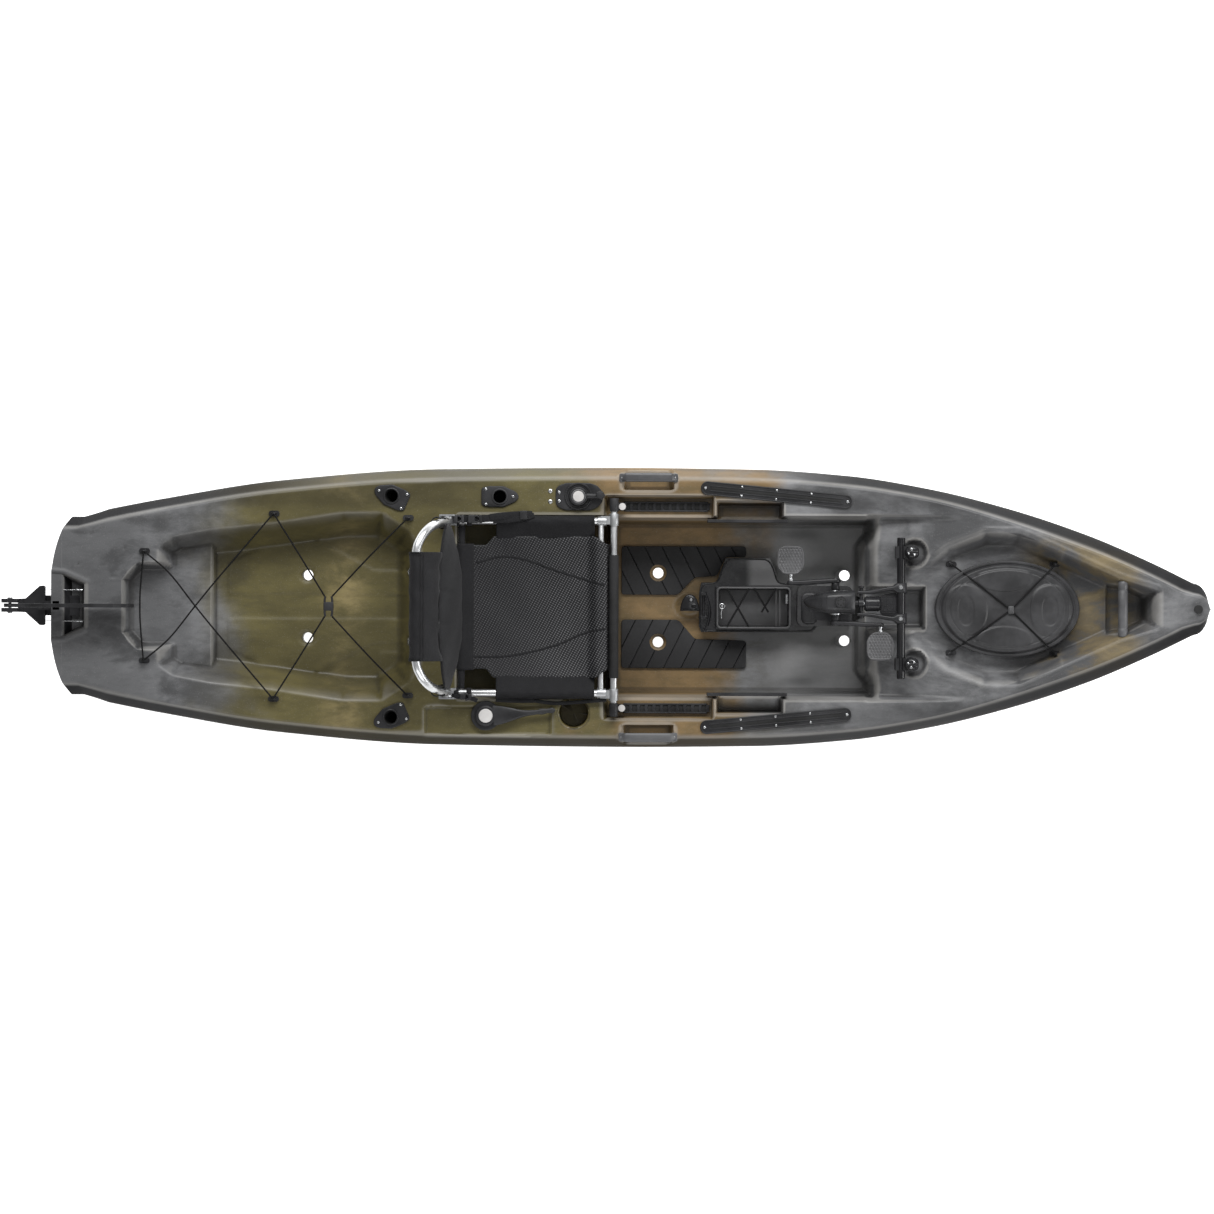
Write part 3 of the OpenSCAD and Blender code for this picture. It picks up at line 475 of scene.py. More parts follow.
def moulded(name, dark, light, rough, grain, depth, scuffs):
    """Moulded plastic: fine grain, soft clouds of wear, and a few brighter scuffs."""
    m = Nodes(name, rough[0], 0, light)
    m.shader.inputs["Specular IOR Level"].default_value = 0.28 if light[0] < 0.05 else 0.5
    clouds = m.noise(9, 4, 0.6)
    grains = m.noise(grain, 2, 0.6)
    colour = m.mix(m.ramp(clouds, 0.35, 0.7), dark, light)
    if scuffs:
        lines = m.noise(60, 5, 0.7, m.stretch((1, 9, 3), (0.2, 0.1, 0.5)))
        scuff = tuple(min(1, c * 2.6 + 0.05) for c in light)
        colour = m.mix(m.ramp(lines, 0.66, 0.74, 0, 0.28), colour, scuff)
    return m.finish(colour, m.ramp(clouds, 0.3, 0.7, *rough), m.bump(grains, depth, 0.7))


def metal(name, colour, rough, scale=(4, 260, 260), depth=0.00004):
    """Drawn or machined metal; scale stretches its fine lines along an axis."""
    m = Nodes(name, rough[0], 1.0, colour)
    lines = m.noise(5, 4, 0.65, m.stretch(scale))
    clouds = m.noise(14, 3, 0.5)
    body = m.mix(m.ramp(clouds, 0.3, 0.75), tuple(c * 0.72 for c in colour), colour)
    return m.finish(body, m.ramp(lines, 0.3, 0.7, *rough), m.bump(lines, depth, 0.5))


def woven(name, dark, light, pitch, turn, depth):
    """Woven cloth: two crossed sets of threads, pitch in metres."""
    m = Nodes(name, 0.75, 0, light)
    m.shader.inputs["Specular IOR Level"].default_value = 0.2
    m.shader.inputs["Sheen Weight"].default_value = 0.04
    v = m.stretch((1, 1, 1), (0, 0, turn))
    scale = math.pi / pitch / 10
    threads = m.times(m.wave(scale, v, "X", 0.4, 1.0), m.wave(scale, v, "Y", 0.4, 1.0))
    colour = m.mix(m.ramp(threads, 0.15, 0.8), dark, light)
    colour = m.mix(m.ramp(m.noise(16, 4, 0.6), 0.3, 0.8, 0, 0.45), colour, tuple(c * 0.55 for c in dark))
    return m.finish(colour, None, m.bump(threads, depth, 0.8))


def seat_cloth():
    """Open sling mesh of pale and dark threads, paler towards the front of the seat."""
    m = Nodes("mesh_fabric", 0.6, 0, (0.05, 0.05, 0.05))
    m.shader.inputs["Specular IOR Level"].default_value = 0.25
    v = m.stretch((1, 1, 1), (0, 0, 0.5))
    threads = m.times(m.wave(37, v, "X", 0.5, 1.0), m.wave(46, v, "Y", 0.5, 1.0))
    clouds = m.noise(7, 3, 0.6)
    paler_zone = m.times(m.ramp(m.axis("X"), -0.42, -0.12, 0.3, 1.0), m.ramp(clouds, 0.25, 0.7, 0.6, 1.0))
    light = m.mix(paler_zone, (0.020, 0.020, 0.022), (0.115, 0.115, 0.12))
    colour = m.mix(m.ramp(threads, 0.22, 0.7), (0.006, 0.006, 0.007), light)
    return m.finish(colour, None, m.bump(threads, 0.0010, 0.8))


def camouflage():
    """Rotomoulded plastic whose colour drifts along the hull, with dark smoky patches."""
    m = Nodes("hull_plastic", 0.42, 0, (0.2, 0.18, 0.12))
    x, y, z = m.axis("X"), m.axis("Y"), m.axis("Z")
    off_middle = m.math("ABSOLUTE", y)
    edge, rim = m.attribute("edge"), m.attribute("rim")
    drift = m.times(m.math("SUBTRACT", m.noise(3.2, 4, 0.6), 0.5), 0.75)
    warped = m.math("ADD", x, drift)
    smoke = m.noise(5.5, 6, 0.62, m.stretch((0.75, 1.4, 1.0)), 0.35)
    fine = m.noise(38, 4, 0.7, m.stretch((0.5, 1.3, 1.0)))
    grey, dark_grey = (0.165, 0.167, 0.172), (0.020, 0.020, 0.021)
    olive, tan, black = (0.108, 0.092, 0.034), (0.185, 0.122, 0.056), (0.012, 0.011, 0.009)
    pale = (0.36, 0.35, 0.33)
    # ground colours from stern to bow
    body = m.mix(m.ramp(warped, -1.45, -1.18), grey, olive)
    body = m.mix(m.ramp(warped, -0.22, -0.02), body, tan)
    body = m.mix(m.ramp(warped, 0.30, 0.47), body, grey)
    bow_patch = m.times(m.ramp(x, 1.20, 1.34), m.ramp(x, 1.66, 1.56), m.ramp(off_middle, 0.26, 0.17))
    body = m.mix(m.times(bow_patch, m.ramp(smoke, 0.40, 0.52), 0.8), body, (0.17, 0.125, 0.05))
    warm = m.times(m.ramp(x, -1.02, -0.90), m.ramp(x, -0.80, -0.90), m.ramp(smoke, 0.35, 0.6, 0, 0.65))
    body = m.mix(warm, body, (0.27, 0.215, 0.10))
    # smoky shade, streaks and specks
    grey_ends = m.math("MAXIMUM", m.ramp(x, 0.30, 0.6), m.ramp(x, -1.1, -1.45))
    depth = m.math("ADD", m.times(grey_ends, 0.38), 0.52)
    shade = m.times(m.ramp(smoke, 0.66, 0.36, 0.0, 0.80), depth)
    shade = m.math("MAXIMUM", shade, m.ramp(warped, -1.35, -1.62, 0, 0.45))
    body = m.mix(shade, body, m.mix(grey_ends, (0.035, 0.031, 0.018), dark_grey))
    streak = m.mix(grey_ends, (0.055, 0.048, 0.022), (0.055, 0.055, 0.057))
    body = m.mix(m.ramp(fine, 0.42, 0.68, 0, 0.30), body, streak)
    body = m.mix(m.ramp(m.noise(260, 2, 0.7), 0.60, 0.72, 0, 0.16), body, pale)
    # painted shade on the gunwale's slope, paler along the port side of the middle, where the light falls
    port_middle = m.times(m.ramp(y, -0.05, 0.05), m.ramp(x, -1.25, -0.75), m.ramp(x, 0.75, 0.3))
    painted_rim_shade = m.times(rim, m.math("SUBTRACT", 0.92, m.times(port_middle, 0.85)))
    shine = m.math("SUBTRACT", 0.3, m.times(painted_rim_shade, 0.27))
    m.link(shine, m.shader.inputs["Specular IOR Level"])
    body = m.mix(painted_rim_shade, body, m.mix(grey_ends, (0.016, 0.013, 0.007), (0.012, 0.012, 0.013)))
    # dark side decks fore and aft, and painted light on the bottom of the foot-well
    fore = m.times(m.ramp(off_middle, 0.27, 0.335), m.ramp(x, 0.5, 0.85, 0, 0.55))
    aft_port = m.times(m.ramp(y, 0.29, 0.34), m.ramp(x, -0.3, -0.6), 0.45)
    side_shade = m.mix(grey_ends, (0.022, 0.018, 0.009), dark_grey)
    body = m.mix(m.math("MAXIMUM", fore, aft_port), body, side_shade)
    # painted light: the fore part of the foot-well's floor is paler the lower it lies
    painted_floor_light = m.times(m.ramp(z, 0.24, 0.15), m.ramp(off_middle, 0.31, 0.26), m.ramp(x, 0.40, 0.52, 0, 0.5))
    body = m.mix(painted_floor_light, body, (0.33, 0.33, 0.33))
    # painted highlights on raised edges and painted shade in hollows
    body = m.mix(m.ramp(edge, 0.55, 0.95, 0, 0.35), body, pale)
    body = m.mix(m.ramp(edge, 0.45, 0.08, 0, 0.45), body, black)
    normal = m.bump(m.noise(150, 2, 0.5), 0.0010, 0.22, m.bump(m.noise(620, 3, 0.6), 0.00018, 0.6))
    return m.finish(body, m.ramp(smoke, 0.3, 0.7, 0.34, 0.50), normal)


def embossed_foam():
    """Closed-cell foam with a fine leather-like emboss."""
    m = Nodes("pad_foam", 0.8, 0, (0.012, 0.012, 0.013))
    clouds = m.noise(22, 4, 0.6)
    colour = m.mix(m.ramp(clouds, 0.35, 0.75), (0.005, 0.005, 0.006), (0.013, 0.013, 0.014))
    return m.finish(colour, m.ramp(clouds, 0.3, 0.7, 0.62, 0.85), m.bump(m.voronoi(700), 0.0004, 0.6))


def braided():
    """Braided elastic cord."""
    m = Nodes("cord", 0.7, 0, (0.01, 0.01, 0.01))
    m.shader.inputs["Specular IOR Level"].default_value = 0.15
    v = m.stretch((1, 1, 1), (0.3, 0.2, 0.78))
    braid = m.times(m.wave(85, v, "X"), m.wave(85, v, "Y"))
    colour = m.mix(braid, (0.003, 0.003, 0.003), (0.016, 0.016, 0.017))
    return m.finish(colour, None, m.bump(braid, 0.0005, 0.8))


def plate_finish():
    """Glossy black at the front of the drive's plate, with a painted satin-grey reflection on its port side.
    """
    m = Nodes("plate_plastic", 0.2, 0, (0.012, 0.012, 0.013))
    m.shader.inputs["Specular IOR Level"].default_value = 0.3
    x, y = m.axis("X"), m.axis("Y")
    clouds = m.noise(11, 4, 0.6)
    # painted reflection: a pale grey patch on the port side stands in for a lamp mirrored in the gloss
    paler_zone = m.times(m.ramp(x, 0.372, 0.402), m.ramp(y, 0.068, 0.076), 0.95)
    fore = m.times(m.ramp(x, 0.505, 0.54), 0.8)
    colour = m.mix(m.ramp(clouds, 0.35, 0.7), (0.008, 0.008, 0.009), (0.020, 0.020, 0.022))
    colour = m.mix(paler_zone, colour, (0.15, 0.15, 0.152))
    colour = m.mix(fore, colour, (0.028, 0.028, 0.029))
    grain = m.bump(m.noise(700, 2, 0.5), 0.00005, 0.5)
    return m.finish(colour, m.ramp(clouds, 0.3, 0.7, 0.18, 0.36), grain)


# dark and light colour, roughness, scale and depth of the grain, and whether it has scuffs
PLASTICS = {
    "black_plastic": ((0.012, 0.012, 0.013), (0.026, 0.026, 0.028), (0.35, 0.55), 900, 0.00012, True),
    "gloss_plastic_black": ((0.010, 0.010, 0.011), (0.020, 0.020, 0.022), (0.16, 0.30), 700, 0.00005, True),
    "lid_plastic": ((0.022, 0.022, 0.023), (0.042, 0.042, 0.044), (0.34, 0.48), 800, 0.0001, True),
    "housing_plastic": ((0.014, 0.014, 0.015), (0.032, 0.032, 0.034), (0.24, 0.38), 900, 0.00012, True),
    "tray_plastic": ((0.040, 0.040, 0.041), (0.060, 0.060, 0.062), (0.4, 0.55), 900, 0.00012, True),
    "grey_plastic": ((0.045, 0.045, 0.047), (0.085, 0.086, 0.09), (0.34, 0.5), 600, 0.0002, True),
    "pedal_plastic": ((0.050, 0.050, 0.052), (0.080, 0.080, 0.083), (0.35, 0.5), 900, 0.0001, True),
    "boss_plastic": ((0.10, 0.085, 0.05), (0.21, 0.17, 0.10), (0.4, 0.55), 600, 0.0002, True),
    "white_plastic": ((0.42, 0.41, 0.40), (0.55, 0.54, 0.53), (0.3, 0.45), 500, 0.00005, False),
    "grip_foam": ((0.008, 0.008, 0.008), (0.018, 0.018, 0.019), (0.6, 0.85), 500, 0.0004, False),
    "flotation_foam": ((0.70, 0.70, 0.68), (0.80, 0.80, 0.78), (0.8, 0.9), 300, 0.0004, False),
    "black_rubber": ((0.008, 0.008, 0.008), (0.018, 0.018, 0.018), (0.5, 0.7), 500, 0.0002, False),
    "black_metal": ((0.010, 0.010, 0.011), (0.022, 0.022, 0.024), (0.28, 0.45), 1200, 0.0001, True),
    "crossbar_metal": ((0.008, 0.008, 0.009), (0.014, 0.014, 0.015), (0.12, 0.22), 1200, 0.00004, True),
}
materials = {name: moulded(name, *finish) for name, finish in PLASTICS.items()}
materials |= {
    "hull_plastic": camouflage(),
    "pad_foam": embossed_foam(),
    "cord": braided(),
    "black_fabric": woven("black_fabric", (0.006, 0.006, 0.007), (0.020, 0.020, 0.022), 0.0016, 0.3, 0.0004),
    "mesh_fabric": seat_cloth(),
    "steel": metal("steel", (0.56, 0.57, 0.58), (0.2, 0.35)),
    "gear_steel": metal("gear_steel", (0.42, 0.42, 0.41), (0.3, 0.45), (60, 60, 60)),
    "tube_alloy": metal("tube_alloy", (0.66, 0.67, 0.68), (0.28, 0.42), (300, 6, 300)),
    "cast_alloy": metal("cast_alloy", (0.46, 0.47, 0.48), (0.38, 0.55), (70, 70, 70), depth=0.0002),
}
materials["drive_plate"] = plate_finish()
slot_of = {part["node"]: part["material_slot"] for part in frame["record"]["subparts"]}


def dress_node(name):
    """A CAD node keeps its shape: rounded edges and its finish are put on it."""
    obj = nodes[name]
    obj.data.materials.clear()
    obj.data.materials.append(materials.get(name) or materials[slot_of[name]])
    weld = obj.modifiers.new("weld", "WELD")
    weld.merge_threshold = 0.00002
    bevel = obj.modifiers.new("bevel", "BEVEL")
    bevel.width = 1.2 * MM
    bevel.segments = 2
    bevel.limit_method = "ANGLE"
    bevel.angle_limit = math.radians(35)
    bevel.use_clamp_overlap = True
    bevel.harden_normals = False


# ---------------------------------------------------------------- hull
# (x, value) along the boat: half beam, height of the deck's edge, of the keel, width of the gunwale
beam_line = [
    (-1770, 282), (-1480, 340), (-1100, 401), (-600, 438), (0, 444), (400, 440),
    (700, 420), (950, 380), (1200, 318), (1450, 234), (1650, 147), (1781, 81),
]
sheer_line = [(-1829, 362), (-1300, 352), (-900, DECK), (760, DECK), (1100, 362), (1450, 395), (1829, 428)]
keel_line = [
    (-1829, 130), (-1600, 66), (-1300, 18), (-950, 0), (950, 0), (1250, 20), (1500, 66),
    (1700, 145), (1790, 228), (1829, 320),
]
band_line = [(-1829, 34), (900, 34), (1400, 46), (1829, 46)]
# port halves of the wells' outlines, and one of each pair of scuppers
tank = [
    (-1493, 192), (-1444, 225), (-1329, 247), (-1130, 268),
    (-906, 302), (-782, 303), (-693, 246), (-655, 190),
]
bow_well = [(876, 96), (1009, 197), (1126, 242), (1234, 242), (1544, 99), (1669, 60)]
rudder_well = [(-1900, 108), (-1790, 98), (-1721, 68)]
scuppers = [(-1025, 100), (-687, 110), (95, 111), (683, 105)]
# where the columns of the hull's mesh run along the walls of the wells
inner_line = [
    (-1829, 120), (-1598, 140), (-1493, 192), (-1444, 225), (-1329, 247), (-1130, 268), (-906, 302),
    (-782, 303), (-693, 246), (-640, 225), (-560, 292), (760, 292), (1126, 292), (1180, 250), (1234, 242),
    (1544, 99), (1669, 60), (1760, 42), (1829, 8),
]


def half_beam(x):
    nose = 81 * np.sqrt(np.clip(1 - ((x - 1781) / (BOW - 1781)) ** 2, 0, 1))
    return np.where(x <= 1781, curve(beam_line, x), nose)


def cut(height, depth_at, distance, wall):
    """Lowers the deck to depth_at inside a well, with a rounded wall that many mm wide."""
    t = smooth((distance + wall) / wall)
    return np.minimum(height, depth_at + (height - depth_at) * t)


def deck_height(x, y):
    """Height of the moulded deck at every point, wells and all."""
    a = np.abs(y)
    h = curve(sheer_line, x)
    # cargo well, with a higher pan at its aft end
    well = outline_distance(x, y, mirrored(tank))
    cargo = cut(h, 215.0, well, 84.0)
    pan_floor = 262 + np.clip(-1324 - x, 0, 280) * 0.09
    step = smooth((-1316 - x) / 12)
    cargo = np.maximum(cargo, 215 + (pan_floor - 215) * step)
    pan = outline_distance(x, y, mirrored([(-1602, 84), (-1555, 138), (-1318, 138)]))
    h = np.where(x < -1324, np.minimum(cargo, cut(h, pan_floor, pan, 22.0)), cargo)
    # raised panels on the floor of the cargo well
    panel = outline_distance(
        x, a, [(-1281, 34), (-699, 34), (-699, 118), (-815, 122), (-981, 212), (-1175, 190), (-1281, 140)]
    )
    h += 3.5 * smooth(-panel / 9) * (x < -690)
    front = outline_distance(x, a, [(-800, 140), (-706, 140), (-706, 190), (-800, 235)])
    h += 3.0 * smooth(-front / 8)
    # seat well, then the foot-well with the slope at its fore end
    seat_front = outline_distance(x, y, rectangle(-545, -52, -292, 292))
    h = cut(h, 200.0, seat_front, 13.0)
    foot = outline_distance(x, y, rectangle(-60, 786, -290, 290))
    wall = 22 + 48 * smooth((x - 690) / 60) * smooth((250 - a) / 60)
    shelf = 288 + (x - 740) * 0.202
    wedge = outline_distance(x, y, rectangle(748, 1128, -299, 299))
    h = np.where(x > 690, cut(h, np.minimum(shelf, h), wedge, 26.0), h)
    h = cut(h, FLOOR, foot, wall)
    # soft ribs and heel rests moulded in the foot-well floor
    floor_area = smooth((-foot - 30) / 40) * smooth((x - 420) / 80)
    h += floor_area * 7 * np.sin((x - 420) / 62) * smooth((a - 70) / 60)
    h += floor_area * 10 * smooth(1 - np.hypot(x - 560, a - 190) / 90)
    # bow well with its raised lip, and the hatch's recess and opening
    bow = outline_distance(x, y, mirrored(bow_well))
    lip = 3.5 * np.exp(-(((bow - 9) / 8) ** 2)) * (x > 880)
    h = cut(h + lip, 300.0, bow, 46.0)
    deeper = outline_distance(x, y, mirrored([(1508, 84), (1572, 76), (1634, 46)]))
    h = cut(h, np.minimum(284.0, h), deeper, 16.0)
    hatch = (np.hypot((x - HATCH_X) / 240, y / 165) - 1) * 190
    h = cut(h, np.minimum(h, 297.0), hatch, 14.0)
    opening = (np.hypot((x - HATCH_X) / 192, y / 117) - 1) * 150
    h = cut(h, np.minimum(h, 170.0), opening, 6.0)
    h = cut(h, np.minimum(h, 230.0), outline_distance(x, y, rectangle(741, 942, -69, 69)), 14.0)
    # seat-track troughs, side pockets, handle notches and the latch knobs' recesses
    troughs = outline_distance(x, a, rectangle(-76, 269, 270, 353))
    h = cut(h, np.minimum(h, 297.6), troughs, 6.0)
    pockets = outline_distance(x, a, rectangle(275, 490, 270, 338))
    h = cut(h, np.minimum(h, 232.0), pockets, 12.0)
    notch = outline_distance(x, a, rectangle(-18, 140, 374, 600))
    h = cut(h, np.minimum(h, 296.0), notch, 16.0)
    knob = np.hypot(x - 903, a - 175) - 42
    h += 4 * np.exp(-(((knob - 5) / 6) ** 2))
    h = cut(h, np.minimum(h, 305.0), knob, 8.0)
    # rudder recess, lever tray, finger recess of the rear latch, scuppers and four inserts at the stern
    rudder = outline_distance(x, y, mirrored(rudder_well))
    h += 4 * np.exp(-(((rudder - 9) / 8) ** 2)) * (x < -1690)
    h = cut(h, np.minimum(h, 317.6), rudder, 12.0)
    tray = outline_distance(x, y, rectangle(-648, -240, -405, -314))
    h = cut(h, np.minimum(h, DECK - 8.4), tray, 6.0)
    latch = np.hypot((x - 196) / 1.2, y - 5) - 44
    h = cut(h, np.minimum(h, FLOOR - 14.0), latch, 20.0)
    for sx, sy in scuppers:
        drain = np.hypot(x - sx, a - sy) - 28
        h = cut(h, h - 5.0, drain, 7.0)
    for ix, iy in ((-1710, 226), (-1595, 182), (-1744, 132), (-1629, 91)):
        h -= 4 * smooth(1 - np.hypot(x - ix, y - iy) / 9)
    return h


def half_ring(x):
    """Gunwale, side and bottom of one half section at each station, from the deck down to the keel."""
    b = np.maximum(4, half_beam(x))
    top, base = curve(sheer_line, x), curve(keel_line, x)
    band = np.minimum(curve(band_line, x), b * 0.45)
    v = np.clip((x - 900) / 850, 0, 1)
    h = top - base
    knots = np.array([
        [b - band, top - 4], [b - 4, top - h * 0.15 - 4],
        [b, top - h * 0.18 - 4], [b - 3, top - h * 0.21 - 6],
        [b * (0.975 - 0.05 * v), base + h * 0.5], [b * (0.93 - 0.22 * v), base + h * 0.2 + 4],
        [b * (0.80 - 0.35 * v), base + h * 0.06], [b * (0.45 - 0.25 * v), base + 3],
        [0 * b, base],
    ]).transpose(2, 0, 1)
    steps = (4, 2, 2, 4, 4, 4, 4, 4)
    rows = []
    for k, n in enumerate(steps):
        for s in range(1, n + 1):
            u = s / n
            if k < 3:
                rows.append(knots[:, k] * (1 - u) + knots[:, k + 1] * u)
                continue
            before = knots[:, k - 1] if k > 3 else 2 * knots[:, k] - knots[:, k + 1]
            if k + 2 < knots.shape[1]:
                after = knots[:, k + 2]
            else:
                after = knots[:, k + 1] - (knots[:, k] - knots[:, k + 1]) * [[1, 0]]
            m0, m1 = (knots[:, k + 1] - before) / 2, (after - knots[:, k]) / 2
            rows.append(
                (2 * u**3 - 3 * u**2 + 1) * knots[:, k] + (u**3 - 2 * u**2 + u) * m0
                + (3 * u**2 - 2 * u**3) * knots[:, k + 1] + (u**3 - u**2) * m1
            )
    rows = np.array(rows).transpose(1, 0, 2)
    rows[:, :, 1] = np.maximum(rows[:, :, 1], base[:, None])
    rows[:, :, 0] = np.clip(rows[:, :, 0], 0, b[:, None])
    return rows


def hull_stations():
    coarse = 8.0
    x = list(np.arange(-1829 + 4, 1829 - 6, coarse))
    x += [-1829, 1815, 1820, 1824, 1827, 1829]
    # closer together at the walls that cross the boat
    for wall in (-1602, -1324, -545, -56, 268, 490, 745, 942, 1508):
        x += [wall + k for k in (-12, -8, -4, 0, 4, 8, 12)]
    x = np.unique(np.round(x, 1))
    keep = [x[0]]
    for value in x[1:]:
        if value - keep[-1] > 2.4 or value > 1820:
            keep.append(value)
    return np.array(keep)


def hull():
    x = hull_stations()
    n = len(x)
    inner, outer = ((46, 24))
    side = half_ring(x)
    b = np.maximum(4, half_beam(x))
    width = b - np.minimum(curve(band_line, x), b * 0.45)
    split = np.minimum(curve(inner_line, x), width * 0.86)
    y_in = np.linspace(0, 1, inner + 1)[None, :] * split[:, None]
    t = np.linspace(0, 1, outer + 1)[1:]
    y_out = split[:, None] + (width - split)[:, None] * t[None, :]
    y_deck = np.concatenate([y_in, y_out], 1)
    x_deck = np.repeat(x[:, None], y_deck.shape[1], 1)
    columns = []
    for sign in (1, -1):
        yd = sign * y_deck
        z = deck_height(x_deck, yd)
        rounding = 4 * smooth((y_deck - (width[:, None] - 9)) / 9)
        z = np.where(z > curve(sheer_line, x)[:, None] - 20, z - rounding, z)
        columns.append((x_deck, yd, z))
    port, starboard = columns
    down_x = np.repeat(x[:, None], side.shape[1], 1)
    pieces_x = [port[0], down_x, down_x[:, -2::-1], starboard[0][:, :0:-1]]
    pieces_y = [port[1], side[:, :, 0], -side[:, -2::-1, 0], starboard[1][:, :0:-1]]
    pieces_z = [port[2], side[:, :, 1], side[:, -2::-1, 1], starboard[2][:, :0:-1]]
    px, py, pz = (np.concatenate(p, 1) for p in (pieces_x, pieces_y, pieces_z))
    # carry-handle notches cut through the gunwale, so its slope drops with them
    across = smooth((px + 22) / 16) * smooth((144 - px) / 16) * (np.abs(py) > 372) * (pz > 270)
    pz = pz - across * np.clip(pz - 296, 0, 60)
    top, m = curve(sheer_line, px), px.shape[1]
    fade = np.clip((-1650 - px) / 179, 0, 1)
    px = px + fade * (59 * np.abs(py / 282) ** 2.8 + 0.12 * (top - pz))
    verts = np.stack([px, py, pz], -1).reshape(-1, 3)
    faces = [tuple(f) for f in grid_faces(n, m, closed_columns=True)]
    # ends: the two halves of the end rings are joined straight across
    for base, flip in ((0, False), ((n - 1) * m, True)):
        for k in range(1, m // 2):
            quad = (base + k, base + (k + 1) % m, base + (m - k - 1) % m, base + (m - k) % m)
            quad = tuple(dict.fromkeys(quad))
            if len(quad) > 2:
                faces.append(quad[::-1] if flip else quad)
        tri = (base, base + 1, base + m - 1)
        faces.append(tri[::-1] if flip else tri)
    obj = make("hull_moulding", (verts, faces), "hull", "hull_plastic", sharp=None)
    # curvature of the surface marks raised edges for painted highlights and hollows for painted shade; rim
    # marks the gunwale's slope for its painted shade
    deck_columns = y_deck.shape[1]
    grid = pz.copy()
    blur = grid.copy()
    for _ in range(3):
        blur = (np.roll(blur, 1, 1) + np.roll(blur, -1, 1) + 2 * blur) / 4
        blur[1:-1] = (blur[:-2] + blur[2:] + 2 * blur[1:-1]) / 4
    edge = np.clip(0.5 + (grid - blur) / 9, 0, 1)
    edge[:, deck_columns + 10 : m - deck_columns - 10] = 0.5
    rim = np.zeros((n, m))
    rim[:, deck_columns : deck_columns + 8] = 1
    rim[:, m - deck_columns - 6 :][:, :7] = 1
    for name, values in (("edge", edge), ("rim", rim)):
        attribute = obj.data.attributes.new(name, "FLOAT", "POINT")
        attribute.data.foreach_set("value", values.reshape(-1).astype(np.float32))
    return obj


def cut_holes(obj):
    """Scuppers, the cup holder, the drive's slot and the rod-holder tubes go through the moulding."""
    parts = Parts()
    for x, y in scuppers:
        foot = (42, 160) if x < -600 else (28, 90)
        for sign in (1, -1):
            funnel = [(foot[0], -60), (17, foot[1]), (17, 400)]
            parts.add(turned(funnel, (x + (12 if x > 400 else 0), sign * y, 0)))
    cup = [(0.1, 250), (42, 250), (45, 256), (46, DECK - 5), (48, DECK - 2), (54, DECK + 1),
           (54, DECK + 40)]
    parts.add(turned(cup, (-174, -335, 0), sides=72))
    parts.add(prism(round_outline(229, 745, -38, 38, 12), -40, 400))
    for x, y, tilt in ((-753, 350, -15), (-753, -350, -15), (-410, 349, 0)):
        verts, faces = turned([(22, -150), (22, 40)], (0, 0, 0))
        turn = np.array(Matrix.Rotation(math.radians(tilt), 3, "Y"))
        parts.add((verts @ turn.T + [x, y, DECK], faces))
    cut_away(obj, parts, 50)


hull_piece = hull()
cut_holes(hull_piece)
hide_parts("hull_shell", "flotation_blocks")
replaced.update(("hull_shell", "flotation_blocks"))

# ---------------------------------------------------------------- seat
def seat_half_width(x):
    return np.where(x < -425, 196 + 28 * smooth((x + 455) / 30), 224 - 26 * smooth((x + 112) / 46))


def pan_height(x, y):
    """The stretched mesh hangs in a shallow hollow between its side tubes."""
    w = seat_half_width(x)
    across = 1 - np.clip(np.abs(y) / w, 0, 1) ** 2.2
    along = np.sin(np.clip((x + 530) / 464, 0, 1) * math.pi) ** 0.6
    ripple = 1.2 * np.sin((x + 0.4 * y) / 31) * np.sin(y / 43)
    over_tube = 27 * smooth((x + 134) / 36) * smooth((-62 - x) / 14)
    return SEAT_Z - 8 - 21 * across * along + ripple + over_tube


def seat_pan():
    rows, columns = 70, 64
    x = np.linspace(-528, -67, rows)
    xx = np.repeat(x[:, None], columns, 1)
    yy = seat_half_width(x)[:, None] * np.linspace(-1, 1, columns)[None, :]
    verts = np.stack([xx, yy, pan_height(xx, yy)], -1).reshape(-1, 3)
    cloth = (verts, grid_faces(rows, columns)[:, ::-1])
    pan = make("seat_mesh", cloth, "seat", "mesh_fabric", ["seat_pan"], None)
    solid = pan.modifiers.new("thickness", "SOLIDIFY")
    solid.thickness = 1.6 * MM
    apply_modifiers(pan)
    seams = Parts()
    port = [(-482, 140), (-402, 160), (-321, 148), (-220, 112), (-69, 67)]
    starboard = [(-500, -158), (-400, -157), (-321, -145), (-220, -117), (-146, -84), (-69, -67)]
    for line in (port, starboard):
        p = spline(line, 70)
        z = pan_height(p[:, 0], p[:, 1]) + 1.6 + 0.5 * np.sin(np.arange(len(p)) * 1.9)
        seams.add(sweep(points(p[:, 0], p[:, 1], z), 3.0, 10, (1.2, 0.55)))
    make("seat_seams", seams, "seat", "black_fabric", sharp=None)


def fabric_band(name, rows):
    """Band of cloth through rows of points, each row a line across the band."""
    rows = np.asarray(rows, float)
    n, m, _ = rows.shape
    obj = make(name, (rows.reshape(-1, 3), grid_faces(n, m)), "seat", "black_fabric", sharp=None)
    solid = obj.modifiers.new("thickness", "SOLIDIFY")
    solid.thickness = 2.4 * MM
    solid.offset = 0
    apply_modifiers(obj)
    obj.data.shade_smooth()


